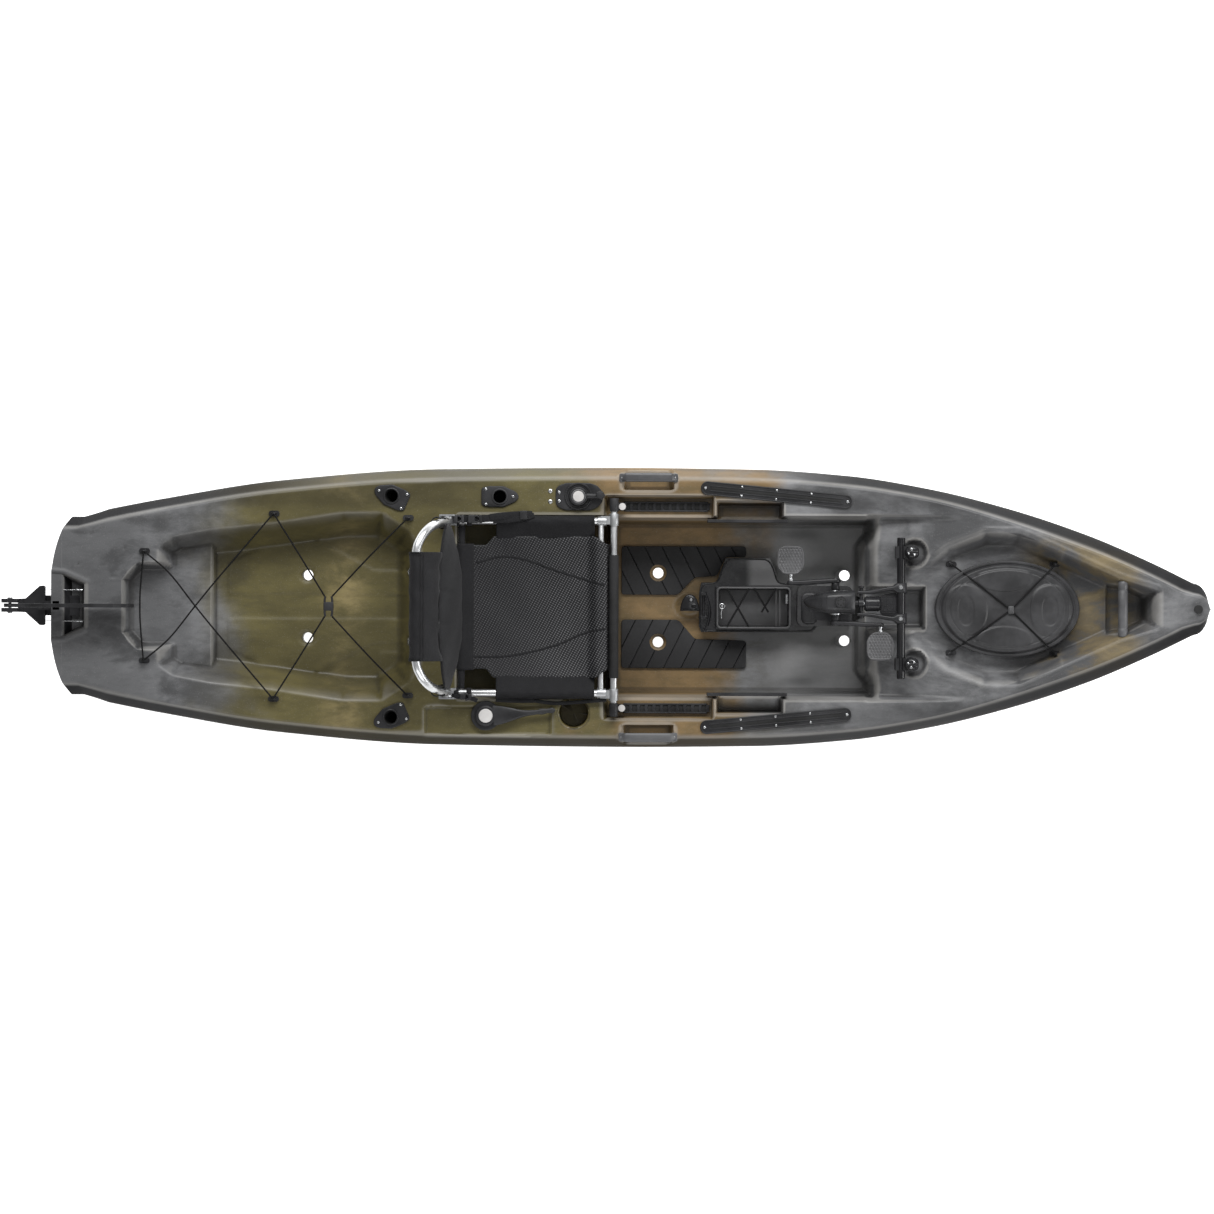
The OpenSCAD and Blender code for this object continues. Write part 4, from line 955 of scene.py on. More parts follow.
def seat_hems():
    """Woven edging along the rear and the front of the mesh, and the sleeve of its rear tube."""
    u = np.linspace(-1, 1, 60)
    rear, front = [], []
    for x, lift in (
        (-545, -20), (-545, -6), (-540, 3.5), (-531, 6.5), (-522, 6.0), (-508, 3.4), (-497, 2.8), (-491, 1.6)
    ):
        y = u * 200.0
        rear.append(points(x, y, pan_height(np.full(60, x), y) + lift))
    fabric_band("seat_rear_band", rear)
    for x, lift in ((-79, 1.8), (-72, 2.4), (-65, 1.0), (-61, -6), (-63, -13)):
        y = u * (float(seat_half_width(np.array(-75.0))) - 2)
        front.append(points(x, y, pan_height(np.full(60, max(x, -66)), y) + lift))
    fabric_band("seat_front_hem", front)
    y = np.linspace(-258, 258, 80)
    sleeve = sweep(points(-530.0, y, SEAT_Z - 14.0), 10.6 + 0.5 * np.sin(y / 9), 24)
    make("seat_rear_sleeve", sleeve, "seat", "black_fabric")


def side_sleeve(sign):
    """Sleeve round a side tube, with its flap sewn to the mesh and fine creases."""
    rows, around = 60, 34
    a = circle_angles(around)
    verts = []
    for x in np.linspace(-420, -109, rows):
        crease = 0.9 * np.sin(x / 17 + 3 * np.sin(a * 2)) + 0.6 * np.sin(x / 7.3 + a * 3)
        r = 17.2 + crease * 0.6
        y, z = r * np.cos(a), r * np.sin(a)
        inward = smooth((-y - 4) / 14)
        y = y - inward * 36 * (1 + 0.04 * np.sin(x / 23))
        z = z * (1 - inward * 0.82) - inward * 8
        verts.append(points(x, sign * (SEAT_HALF + y), SEAT_Z + z))
    faces = tube_faces(rows, around)
    return np.vstack(verts), [f[::-1] for f in faces] if sign < 0 else faces


def seat_sleeves():
    parts = Parts()
    ends = (-416, -113)
    for sign in (1, -1):
        parts.add(side_sleeve(sign))
        a = np.linspace(0, math.pi, 24)
        for x in ends:
            hem = points(x, sign * (SEAT_HALF + 17.9 * np.cos(a)), SEAT_Z + 17.9 * np.sin(a))
            parts.add(sweep(hem, 1.6, 8, up=(1, 0, 0)))
        for y, below in ((241.0, 2.0), (231.0, 3.6)):
            parts.add(sweep(points(np.linspace(*ends, 60), sign * y, SEAT_Z - below), 1.2, 6))
    make("seat_sleeves", parts, "seat", "black_fabric", ["seat_side_sleeves"], None)


def backrest_sleeve():
    """Cloth wrapped round the top tube, running down and forward to the lumbar band."""
    rows = 90
    tube_x, tube_z = TOP_TUBE
    wrap = [math.radians(d) for d in range(40, 261, 11)]
    outer = [(tube_x + 18.4 * math.cos(a), tube_z + 18.4 * math.sin(a)) for a in wrap]
    front_top = [(-634, 748), (-624, 738), (-614, 722), (-604, 704), (-596, 688), (-590, 668)]
    front_bottom = [(-596, 664), (-604, 684), (-614, 702), (-626, 716), (-640, 722)]
    section = np.array(outer + [(-650, 724)] + front_bottom[::-1] + front_top[::-1])
    verts = []
    for y in np.linspace(-168, 168, rows):
        s = section.copy()
        end = smooth((abs(y) - 120) / 48)
        s[:, 0] += 0.9 * np.sin(y / 21 + s[:, 1] / 19) + 0.8 * np.sin(y / 8.5 + s[:, 1] / 31)
        s[:, 1] += 1.1 * np.sin(y / 15 + s[:, 0] / 13)
        forward = smooth((s[:, 0] + 640) / 45)
        s[:, 0] += forward * (5 + 9 * end)
        s[:, 1] += forward * 5 * np.sin(y / 52) * (1 - end)
        verts.append(points(s[:, 0], y, s[:, 1]))
    parts = Parts().add((np.vstack(verts), tube_faces(rows, len(section))))
    a = np.radians(np.linspace(20, 250, 34))
    for y in (-166, -160, 160, 166):
        seam = points(tube_x + 19.4 * np.cos(a), y, tube_z + 19.4 * np.sin(a))
        parts.add(sweep(seam, 0.9, 6, up=(0, 1, 0)))
    for x, z in ((-640, 757), (-632, 748)):
        y = np.linspace(-166, 166, 80)
        parts.add(sweep(points(x, y, z + 1.1 * np.sin(y / 15 + x / 13) + 0.6), 0.9, 6))
    make("backrest_cover", parts, "backrest", "black_fabric", ["backrest_sleeve"], None)


def backrest_panel():
    """Padded lumbar panel between the side tubes, bulging back in the middle, with two darts."""
    rows, columns, half = 80, 34, 256
    t = np.linspace(0, 1, columns)
    section = []
    for y in np.linspace(-half, half, rows):
        e = abs(y) / half
        top_z, bottom_z = 676 - 26 * e**2, 436 + 26 * e**3
        z = top_z + (bottom_z - top_z) * t
        bow = 1 - e**2.4
        x = -556 - 26 * bow * (1 - t) ** 1.4 + 12 * bow * np.sin(t * math.pi) + (1 - t) * -6
        x = x + 30 * bow * t**2 - 6 * (1 - bow)
        darts = 3.2 * np.exp(-(((abs(y) - 47) / 5) ** 2)) * smooth((0.55 - t) / 0.3)
        crease = 1.2 * np.sin(z / 26 + y / 33) + 0.7 * np.sin(y / 11 + z / 40)
        pad = 8.5 * np.clip(1 - (2 * t - 1) ** 6, 0, 1) ** 0.5 * (1 - e**8) ** 0.5 + 1.2
        front = points(x + pad * 0.6 - darts + crease, y, z)
        back = points(x - pad + darts * 0.5 + crease * 0.6, y, z)
        section.append(np.vstack([front, back[::-1]]))
    section = np.array(section)
    shape = (section.reshape(-1, 3), tube_faces(rows, section.shape[1]))
    pad = make("backrest_panel", shape, "backrest", "black_fabric", ["backrest_band"], None)
    loops = Parts()
    a = np.linspace(-0.6, 3.7, 26)
    for sign in (1, -1):
        for z in (640, 560, 480):
            centre = curve([(390, -573), (470, -575), (570, -582), (650, -598)], z)
            loop = points(centre - 16.5 * np.sin(a), sign * (260 + 16.5 * np.cos(a)), z)
            loops.add(sweep(loop, 14, 10, (0.16, 1.0)))
    loops.add(sweep(section[:, 0] + [0, 0, 1.0], 2.2, 8))
    make("backrest_loops", loops, "backrest", "black_fabric", sharp=None)


def strap(path, width, thickness=2.6):
    return sweep(spline(path, 60), width / 2, 12, (1.0, thickness / width))


def buckle(x, y, z, length=34, width=26):
    """Side-release buckle: body, two prongs and a bar."""
    parts = Parts()
    half = width / 2
    parts.add(prism(round_outline(x - length / 2, x + length / 6, y - half, y + half, 5), z, z + 9, 2))
    for sign in (1, -1):
        prong = [(length / 6, 9), (length / 3, 10), (length / 2, 5)]
        parts.add(sweep(spline([(x + dx, y + sign * dy, z + 5) for dx, dy in prong], 12), 3, 8))
    parts.add(prism(round_outline(x + length / 2, x + length / 2 + 10, y - half, y + half, 3), z, z + 7, 2))
    return parts.all()


def seat_straps():
    parts = Parts()
    z = SEAT_Z + 17
    parts.add(strap([(-590, 276, z + 2), (-540, 278, z + 1), (-480, 276, z + 3), (-440, 281, z + 2)], 22))
    parts.add(strap([(-440, 281, z + 2), (-400, 286, z + 5), (-350, 290, z + 3), (-306, 291, z + 1)], 25, 5))
    parts.add(strap([(-430, 272, z + 1), (-380, 274, z + 5), (-330, 282, z + 4), (-300, 290, z)], 17, 3))
    parts.add(strap([(-585, -276, z + 2), (-540, -283, z + 1), (-500, -288, z - 1), (-478, -296, z - 8)], 14))
    tail = [(-300, -296, -2), (-230, -304, -6), (-160, -300, -4), (-70, -292, 2)]
    parts.add(strap([(x, y, SEAT_Z + dz) for x, y, dz in tail], 12, 3))
    parts.add(strap([(-420, -293, SEAT_Z), (-360, -296, SEAT_Z - 2), (-300, -296, SEAT_Z - 2)], 14, 3))
    a = np.linspace(0, 2 * math.pi * 0.98, 30)
    for sign in (1, -1):
        for x in (-545, -505):
            loop = points(x, sign * (SEAT_HALF + 15.0 * np.cos(a)), SEAT_Z + 15.0 * np.sin(a))
            parts.add(sweep(loop, 8, 10, (0.2, 1.0), up=(1, 0, 0)))
    make("seat_straps", parts, "seat", "black_fabric", sharp=None)
    buckles = Parts()
    buckles.add(buckle(-548, 277, z + 3))
    buckles.add(buckle(-492, 277, z + 3))
    buckles.add(buckle(-520, -284, z, 26, 18))
    buckles.add(prism(round_outline(-346, -322, 276, 304, 4), z + 2, z + 10, 2))
    make("seat_buckles", buckles, "seat", "black_plastic", sharp=None)
    bolts = Parts()
    head = [(0.1, 0), (7, 0), (7, 2), (5, 4), (0.1, 4.4)]
    for y in (BACKREST_HALF + 13, -BACKREST_HALF - 17.5):
        bolts.add(turned(head, (BACKREST_PIVOT[0], y, BACKREST_PIVOT[1]), "y", 24))
    make("backrest_bolts", bolts, "seat", "steel", sharp=None)


seat_pan()
seat_hems()
seat_sleeves()
backrest_sleeve()
backrest_panel()
seat_straps()


# ---------------------------------------------------------------- shapes for the fittings
def plate_round_hole(outline, hole, z0, z1, bevel):
    """Flat plate with a rounded rim and a round hole (x, y, radius) through it."""
    count = 96
    cx, cy, radius = hole
    p = np.asarray(outline, float) - [cx, cy]
    q = np.roll(p, -1, axis=0)
    angles = circle_angles(count)
    reach = np.zeros(count)
    for k, angle in enumerate(angles):
        along_ray = np.array([math.cos(angle), math.sin(angle)])
        across_ray = np.array([-along_ray[1], along_ray[0]])
        s, t = p @ across_ray, q @ across_ray
        crossing = (s * t <= 0) & (s != t)
        u = (s[crossing] / (s[crossing] - t[crossing]))[:, None]
        reach[k] = np.max((p[crossing] + (q - p)[crossing] * u) @ along_ray)
    for _ in range(2):
        reach = (np.roll(reach, 1) + 2 * reach + np.roll(reach, -1)) / 4
    rings = [(reach, z0), (reach, z1 - bevel)]
    for k in range(1, 5):
        a = k / 4 * math.pi / 2
        rings.append((reach - bevel * (1 - math.cos(a)), z1 - bevel * (1 - math.sin(a))))
    rings += [(radius + 3.0, z1), (radius + 0.8, z1 - 0.8), (radius, z1 - 2.2), (radius, z0)]
    verts = np.vstack([points(cx + r * np.cos(angles), cy + r * np.sin(angles), z) for r, z in rings])
    faces = grid_faces(len(rings), count, closed_columns=True, closed_rows=True)
    return verts, [tuple(f)[::-1] for f in faces]


def placed(shape, x=0.0, y=0.0, turn=0.0, mirror=False):
    """A shape turned about Z, then moved, then mirrored to the other side if asked."""
    verts, faces = shape
    c, s = math.cos(math.radians(turn)), math.sin(math.radians(turn))
    v = np.asarray(verts, float).copy()
    v[:, 0], v[:, 1] = c * v[:, 0] - s * v[:, 1] + x, s * v[:, 0] + c * v[:, 1] + y
    if mirror:
        v[:, 1] *= -1
        faces = [tuple(f)[::-1] for f in faces]
    return v, faces


def closed_sweep(path, radius):
    """Tube round a closed loop of points lying level."""
    sides = 10
    path = np.asarray(path, float)
    tangent = np.roll(path, -1, axis=0) - np.roll(path, 1, axis=0)
    tangent /= np.linalg.norm(tangent, axis=1)[:, None]
    side = np.cross(tangent, [0.0, 0, 1])
    side /= np.linalg.norm(side, axis=1)[:, None]
    a = circle_angles(sides)
    ring = np.cos(a)[None, :, None] * side[:, None] + np.sin(a)[None, :, None] * np.array([0, 0, 1.0])
    verts = (path[:, None] + radius * ring).reshape(-1, 3)
    faces = grid_faces(len(path), sides, closed_columns=True, closed_rows=True)
    return verts, [tuple(f) for f in faces]


def screw(x, y, z, radius=4.5):
    """Pan-head screw with a recessed centre."""
    head = [(1, -1), (1, 0.8), (0.86, 1.9), (0.5, 2.5), (0.34, 2.5), (0.28, 1.2)]
    profile = [(0.1, -1)] + [(radius * share, h) for share, h in head] + [(0.1, 1.2)]
    return turned(profile, (x, y, z), sides=24)


# ---------------------------------------------------------------- deck fittings
HOLDER = [
    (-58, -28), (-58, 28), (-34, 33), (12, 33), (50, 16), (60, 5), (60, -5), (50, -16), (12, -33), (-34, -33),
]
# place, turn, side and lean of each rod holder
holders = [(-753, 350, 157, False, -15), (-753, 350, 157, True, -15), (-410, 349, 0, False, 0)]
screw_list = Parts()


def rod_holders():
    parts, tubes = Parts(), Parts()
    collar = [(26, 4), (26, 7.4), (24.5, 8.6), (22.4, 8.6), (21, 7.2), (21, 4)]
    bore = [(0.1, -150), (23.4, -150), (23.4, 5.5), (20.2, 5.5), (20.2, -147), (0.1, -147)]
    for x, y, turn, mirror, tilt in holders:
        outline = HOLDER if turn == 0 else [(px * 0.95, py * 1.05) for px, py in HOLDER]
        plate = plate_round_hole(outline, (0, 0, 20), DECK - 0.5, DECK + 6, 3)
        parts.add(placed(plate, x, y, turn, mirror))
        parts.add(placed(turned(collar, (0, 0, DECK), sides=64, ring=True), x, y, turn, mirror))
        for k in range(7):
            tooth = round_outline(-54, -49, -21 + k * 6.4, -17.6 + k * 6.4, 1, 2)
            parts.add(placed(prism(tooth, DECK + 5, DECK + 7.4, 0.8), x, y, turn, mirror))
        for sx, sy in ((42, 0), (-44, 24), (-44, -24)):
            screw_list.add(placed(screw(sx, sy, DECK + 6.4), x, y, turn, mirror))
        verts, faces = turned(bore, (0, 0, 0), sides=48)
        lean = np.array(Matrix.Rotation(math.radians(tilt), 3, "Y"))
        below = verts[:, 2] < 0
        verts[below] = verts[below] @ lean.T
        tubes.add(placed((verts + [0, 0, DECK], faces), x, y, 0, mirror))
    make("rod_holder_plates", parts, "hull", "black_plastic")
    make("rod_holder_tubes", tubes, "hull", "black_rubber", ["rod_holders"])


def steering():
    x0, y0 = STEERING[:2]
    plate = [(-233, 326), (-233, 374), (-224, 385), (-200, 393), (-124, 393), (-100, 384), (-86, 366),
             (-84, 334), (-100, 316), (-124, 306), (-200, 306), (-224, 315)]
    dial = [(44, 0), (44, 8), (42, 10), (38, 10.3), (36, 8), (31.4, 8), (31.4, 0)]
    base = Parts()
    base.add(plate_round_hole(plate, (x0, y0, 30), DECK - 0.4, DECK + 6, 3))
    base.add(turned(dial, STEERING, sides=72, ring=True))
    for angle in range(0, 360, 10):
        notch = prism(round_outline(38.5, 43.0, -1.3, 1.3, 0.6, 2), DECK + 8, DECK + 11.4, 0.6)
        base.add(placed(notch, x0, y0, angle))
    make("steering_dial", base, "hull", "black_plastic", ["steering_base"])
    for y in (336, 364):
        screw_list.add(screw(-222, y, DECK + 6, 5))
    for y in (367, 334):
        screw_list.add(screw(-250, y, DECK + 0.5, 7))
    hub = [(0.1, 8.8), (30, 8.8), (30, 19), (28, 22), (25.4, 22.6), (24.2, 21.4), (23.4, 21.4), (0.1, 21.4)]
    arm = [(-140, 352, DECK + 17), (-124, 351, DECK + 19), (-108, 351, DECK + 20), (-92, 354, DECK + 21)]
    knob = [(0.1, 10), (11, 12), (13.4, 18), (13.4, 30), (11, 34.4), (6, 35.6), (0.1, 35.8)]
    handle = Parts().add(turned(hub, STEERING, sides=64))
    handle.add(sweep(spline(arm, 24), np.linspace(9, 7, 24), 16, (1.0, 0.62)))
    handle.add(turned(knob, (-92, 354, DECK), sides=36))
    for a in circle_angles(5):
        rib = (-92 + 11.6 * math.cos(a), 354 + 11.6 * math.sin(a), DECK)
        handle.add(turned([(0.1, 14), (3.6, 15), (3.6, 32), (0.1, 33)], rib, sides=12))
    make("steering_lever", handle, "steering", "black_plastic", ["steering_handle"])
    ring = [(23.2, 21.2), (23.2, 22.6), (22, 23.6), (19.6, 23.8), (18.2, 22.8), (18.2, 21.2)]
    make("steering_ring", turned(ring, STEERING, sides=56, ring=True), "steering", "grey_plastic")
    cap = [(0.1, 21.6), (17.6, 21.6), (17.6, 23.4), (16.4, 24.8), (8, 25.6), (0.1, 25.8)]
    make("steering_cover", turned(cap, STEERING, sides=56), "steering", "white_plastic", ["steering_cap"])


def lift_lever():
    base = [(0.1, -7), (27, -7), (27, 0), (43, 0), (46.5, 1.5), (46.5, 4.6), (45, 6), (33.5, 6), (0.1, 6)]
    make("lever_base", turned(base, LEVER, sides=72), "hull", "black_plastic", ["lift_lever_base"])
    hub = [(0.1, 6.6), (33, 6.6), (33, 13), (31.4, 16), (29, 17.6), (24.6, 17.8), (24, 16.8), (0.1, 16.8)]
    parts = Parts().add(turned(hub, LEVER, sides=64))
    count, sides = 70, 20
    middle_line = [(-428, -343, 13), (-380, -340, 13), (-330, -336, 12.6), (-280, -331, 12), (-232, -325, 12)]
    path = spline([(x, y, DECK + z) for x, y, z in middle_line], count)
    t = np.linspace(0, 1, count)
    radius = 23 * (1 - smooth(t / 0.62)) + 8.5 + 1.2 * np.sin(t * 34) * smooth((t - 0.6) / 0.1)
    radius *= 1 - 0.55 * smooth((t - 0.95) / 0.05)
    verts, faces = sweep(path, radius, sides)
    verts = verts.reshape(count, sides, 3)
    thickness = np.minimum(radius, 6.4)[:, None]
    verts[:, :, 2] = path[:, None, 2] + thickness * soft(np.sin(circle_angles(sides)), 0.7) * 0.9
    parts.add((verts.reshape(-1, 3), faces))
    make("lever_arm", parts, "lifter", "black_plastic", ["lift_lever"])
    cap = [(0.1, 17), (22, 17), (22, 19.6), (20.6, 21), (9, 21.8), (0.1, 22)]
    make("lever_cover", turned(cap, LEVER, sides=56), "lifter", "white_plastic", ["lift_lever_cap"])


def accessory_tracks():
    parts, slot_shade = Parts(), Parts()
    for mirror in (False, True):

        def along(shape):
            return placed(shape, 465.5, 357.5, -5.38, mirror)

        parts.add(along(block(0, 0, 240, 22, 21, DECK - 0.4, DECK + 5, 1.2, 10)))
        rim = np.array(round_outline(-237.5, 237.5, -19.5, 19.5, 18.5, 10))
        parts.add(along(closed_sweep(points(rim[:, 0], rim[:, 1], DECK + 4.4), 2.5)))
        for y in (-7.4, 7.4):
            parts.add(along(block(0, y, 212, 2.2, 2, DECK + 4, DECK + 7, 1, 4)))
        # painted shade: a dark strip between the rails stands in for the depth of the slot
        slot_shade.add(along(block(0, 0, 206, 4.6, 4, DECK + 4, DECK + 5.6, 0.4, 4)))
        for x in (-226, 226):
            screw_list.add(along(screw(x, 0, DECK + 5.4, 4.6)))
        for x in (-110, 0, 110):
            for y in (-14, 14):
                screw_list.add(along(screw(x, y, DECK + 5.2, 3.6)))
    make("track_mouldings", parts, "hull", "black_plastic", ["accessory_tracks"])
    make("track_slot_shade", slot_shade, "hull", "black_rubber")


def seat_tracks():
    """Racks for the seat's pins: a frame, teeth between the holes, and thin dark plates in the holes as
    painted shade.
    """
    top = high("seat_tracks")[2]
    pitch = 24.5
    parts, dark = Parts(), Parts()
    for mirror in (False, True):
        parts.add(placed(prism(round_outline(-17, 250, 304, 336, 4), 298.2, top - 4.4, 1), mirror=mirror))
        for y in (306.4, 333.6):
            rail = prism(round_outline(-17, 250, y - 2.6, y + 2.6, 2), top - 5, top, 1)
            parts.add(placed(rail, mirror=mirror))
        for x in (-15, 248):
            parts.add(placed(block(x, 320, 2, 16, 1.8, top - 5, top, 1), mirror=mirror))
        for k in range(11):
            x = -5 + (k + 0.5) * pitch
            tooth = [(x - 5, 309), (x + 5, 309), (x + 2.6, 318), (x + 5, 331), (x - 5, 331), (x - 7, 320)]
            parts.add(placed(prism(tooth, top - 5, top - 0.8, 1.2), mirror=mirror))
            # painted shade: a thin dark plate at the bottom of each hole
            hole = round_outline(-12 + k * pitch, 3 + k * pitch, 310, 330, 3)
            dark.add(placed(prism(hole, top - 4.6, top - 4.0, 0.2), mirror=mirror))
    make("seat_racks", parts, "hull", "black_plastic", ["seat_tracks"])
    make("seat_rack_hole_shade", dark, "hull", "black_rubber")


def carry_handles():
    parts, bosses = Parts(), Parts()
    count, sides = 60, 24
    for mirror in (False, True):
        x = np.linspace(-30, 152, count)
        end = smooth((91 - np.abs(x - 61)) / 22)
        path = points(x, 409 + 2.5 * end, DECK + 1.5 + 8.0 * end)
        verts, faces = sweep(path, 1.0, sides)
        verts = verts.reshape(count, sides, 3)
        a = circle_angles(sides)
        wide = 8 + 6.5 * end + 0.5 * np.cos(x * 0.75) * (np.abs(x - 61) < 52)
        verts[:, :, 1] = path[:, None, 1] - wide[:, None] * soft(np.cos(a), 0.8)
        verts[:, :, 2] = path[:, None, 2] + (2.5 + 3.5 * end)[:, None] * soft(np.sin(a), 0.8)
        parts.add(placed((verts.reshape(-1, 3), [tuple(f)[::-1] for f in faces]), mirror=mirror))
        for x in (-22, 144):
            parts.add(placed(block(x, 410, 10, 14, 6, DECK - 0.5, DECK + 5, 2), mirror=mirror))
            screw_list.add(placed(screw(x, 410, DECK + 5, 4), mirror=mirror))
        bosses.add(placed(prism(round_outline(1538, 1576, 92, 112, 7), 300, 403, 7, 5), mirror=mirror))
    make("carry_grips", parts, "hull", "grey_plastic", ["carry_handles"])
    half = [(15.4, 56), (14.2, 58), (14.2, 62), (15.4, 64), (15.2, 83), (13, 87), (9, 87.6), (9, 91),
            (0.1, 91)]
    grip = [(r, -h) for r, h in reversed(half)] + half
    make("bow_grip", turned(grip, (1557, 0, 388), "y", 40), "hull", "grey_plastic", ["bow_handle"])
    make("bow_handle_bosses", bosses, "hull", "hull_plastic", sharp=None, finish="boss_plastic")


def rounded_corners(outline, radius):
    """The outline with its corners rounded."""
    p = np.asarray(outline, float)
    rounded = []
    for before, at, after in zip(np.roll(p, 1, 0), p, np.roll(p, -1, 0)):
        a, b = before - at, after - at
        reach = min(radius, 0.45 * np.linalg.norm(a), 0.45 * np.linalg.norm(b))
        a, b = at + a / np.linalg.norm(a) * reach, at + b / np.linalg.norm(b) * reach
        for t in np.linspace(0, 1, 6):
            rounded.append(tuple((1 - t) ** 2 * a + 2 * t * (1 - t) * at + t**2 * b))
    return rounded


def floor_pads():
    """Foam pads with slanted grooves pressed into them, and a hole for each scupper."""
    port = [(-23, 41), (158, 41), (212, 97), (284, 103), (312, 164), (378, 164), (378, 197), (-23, 197)]
    starboard = [(-23, -195), (378, -195), (378, -106), (213, -101), (160, -39), (-23, -39)]
    normal_x, normal_y = np.array([1.0, 0.5]) / math.hypot(1, 0.5)
    parts, grooves, holes = Parts(), Parts(), Parts()
    for outline, sign, first in ((port, 1, 33), (starboard, -1, 38)):
        parts.add(prism(rounded_corners(outline, 11), FLOOR - 0.2, FLOOR + 8, 1.5, 4))
        for k in range(-3, 11):
            groove = []
            for y in (sign * 30, sign * 206):
                x = (k * 50 + first - sign * normal_y * y) / normal_x
                groove += [(x, y, FLOOR + 4.4), (x + 2.6, y, FLOOR + 8.6), (x - 2.6, y, FLOOR + 8.6)]
            grooves.add((groove, [(0, 1, 2), (5, 4, 3), (0, 3, 4, 1), (1, 4, 5, 2), (2, 5, 3, 0)]))
        holes.add(turned([(0.1, 60), (27, 60), (27, 200), (0.1, 200)], (95, sign * 111, 0), sides=64))
    pads = make("pad_strips", parts, "hull", "pad_foam", ["floor_pads"])
    cut_away(pads, grooves, 40)
    cut_away(pads, holes, 40)


def cords():
    """Shock cords laced over the cargo well, with a little sag between their hooks."""
    z0, z1, z2 = float(curve(sheer_line, -1531)) + 24, float(curve(sheer_line, -1123)) + 24, DECK + 24
    buckle_z = middle("bungee_buckle")[2]
    parts = Parts()

    def run(knots):
        radii = 2.6 * (1 + 0.03 * np.sin(np.arange(60) * 2.1))
        parts.add(sweep(spline(knots, 60), radii, 12))

    for s in (1, -1):
        run([(-1531, s * 173, z0), (-1450, s * 102, z0 - 4), (-1370, 0, 366 + 3 * s), (-1290, -s * 98, 362),
             (-1123, -s * 293, z1)])
        run([(-1123, s * 293, z1 + 3), (-1040, s * 160, z1 - 1), (-962, s * 32, buckle_z + 2)])
        run([(-938, s * 32, buckle_z + 2), (-820, s * 158, z2 + 2), (-699, s * 281, z2)])
    run([(-1531, 173, z0 + 5), (-1541, 60, z0 + 1), (-1543, 0, z0), (-1541, -60, z0 + 1),
         (-1531, -173, z0 + 5)])
    make("deck_cords", parts, "hull", "cord", ["deck_bungee"])
    knots = Parts()
    knots.add(block(-950, 0, 16, 14, 5, buckle_z - 5, buckle_z + 4.6, 2))
    a = np.linspace(0, math.pi * 1.5, 18)
    for s in (1, -1):
        for x, bulge in ((-960, -2), (-940, 2)):
            end = [(x, 0, buckle_z), (x + bulge, s * 16, buckle_z + 1), (x, s * 32, buckle_z + 2)]
            knots.add(sweep(spline(end, 14), 3.6, 12))
        for x, y, z in ((-1531, 173, z0), (-1123, 293, z1), (-699, 281, z2)):
            hook = points(x + 7 * np.cos(a), s * y, z - 8 + 7 * np.sin(a))
            knots.add(sweep(hook, 3.0, 10, up=(0, 1, 0)))
    make("cord_knots", knots, "hull", "black_plastic", ["bungee_buckle"])


def rudder_lines():
    """Steering wires from hull to rudder head, each in a crimped ferrule."""
    z = middle("rudder_cables")[2]
    hull_end, rudder_end = -1736, -1842
    ferrule = [(0.1, -1748), (3.2, -1748), (4, -1746.5), (4, -1740), (3.3, -1738.5), (4, -1737),
               (4, -1727.5), (3, -1726), (0.1, -1726)]
    parts = Parts()
    for y in (-49, 49):
        parts.add(sweep(points(np.linspace(rudder_end, hull_end, 40), y, z), 1.5, 10))
        parts.add(turned(ferrule, (0, y, z), "x", 24))
    lines = make("steering_wires", parts, None, slot_of["rudder_cables"], ["rudder_cables"])
    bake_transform(lines)


rod_holders()
steering()
lift_lever()
accessory_tracks()
seat_tracks()
carry_handles()
floor_pads()
cords()
rudder_lines()
make("screw_heads", screw_list, "hull", "steel", ["deck_screws"])


# ---------------------------------------------------------------- hatch
def petal(x, y, cx, cy, rx, ry, power=2.3):
    """1 inside a rounded patch of the lid, 0 outside, with a soft edge."""
    d = (np.abs((x - cx) / rx) ** power + np.abs((y - cy) / ry) ** power) ** (1 / power)
    return smooth((1.04 - d) / 0.10), d


def lid_height(x, y):
    e = np.hypot(x / LID_HALF[0], y / LID_HALF[1])
    h = 337 + 7.5 * smooth((0.93 - e) / 0.05) + 3.0 * (1 - e**2)
    h -= 3.2 * np.exp(-(((e - 0.925) / 0.012) ** 2))
    h -= 1.6 * np.exp(-(((e - 0.80) / 0.010) ** 2))
    valley = np.minimum(np.abs(y - 0.72 * x), np.abs(y + 0.72 * x)) / 1.23
    h -= 3.0 * smooth(1 - valley / (15 + 20 * smooth(1 - e))) * smooth((0.80 - e) / 0.06)
    h -= smooth(1 - np.hypot(x / 62, y / 48))
    for cx, rx in ((-132, 70), (134, 66)):
        inside, d = petal(x, y, cx, -4, rx, 84)
        h += inside * 3.4 - 2.4 * np.exp(-(((d - 0.97) / 0.035) ** 2))
        lens, d = petal(x, y, cx, -6, 26, 48)
        h -= lens * 2.2 - 1.4 * smooth((0.9 - d) / 0.5)
    for cy in (96, -98):
        inside, d = petal(x, y, -10, cy, 88, 42, 2.0)
        h += inside * 3.4 * smooth((0.84 - e) / 0.05)
    return h


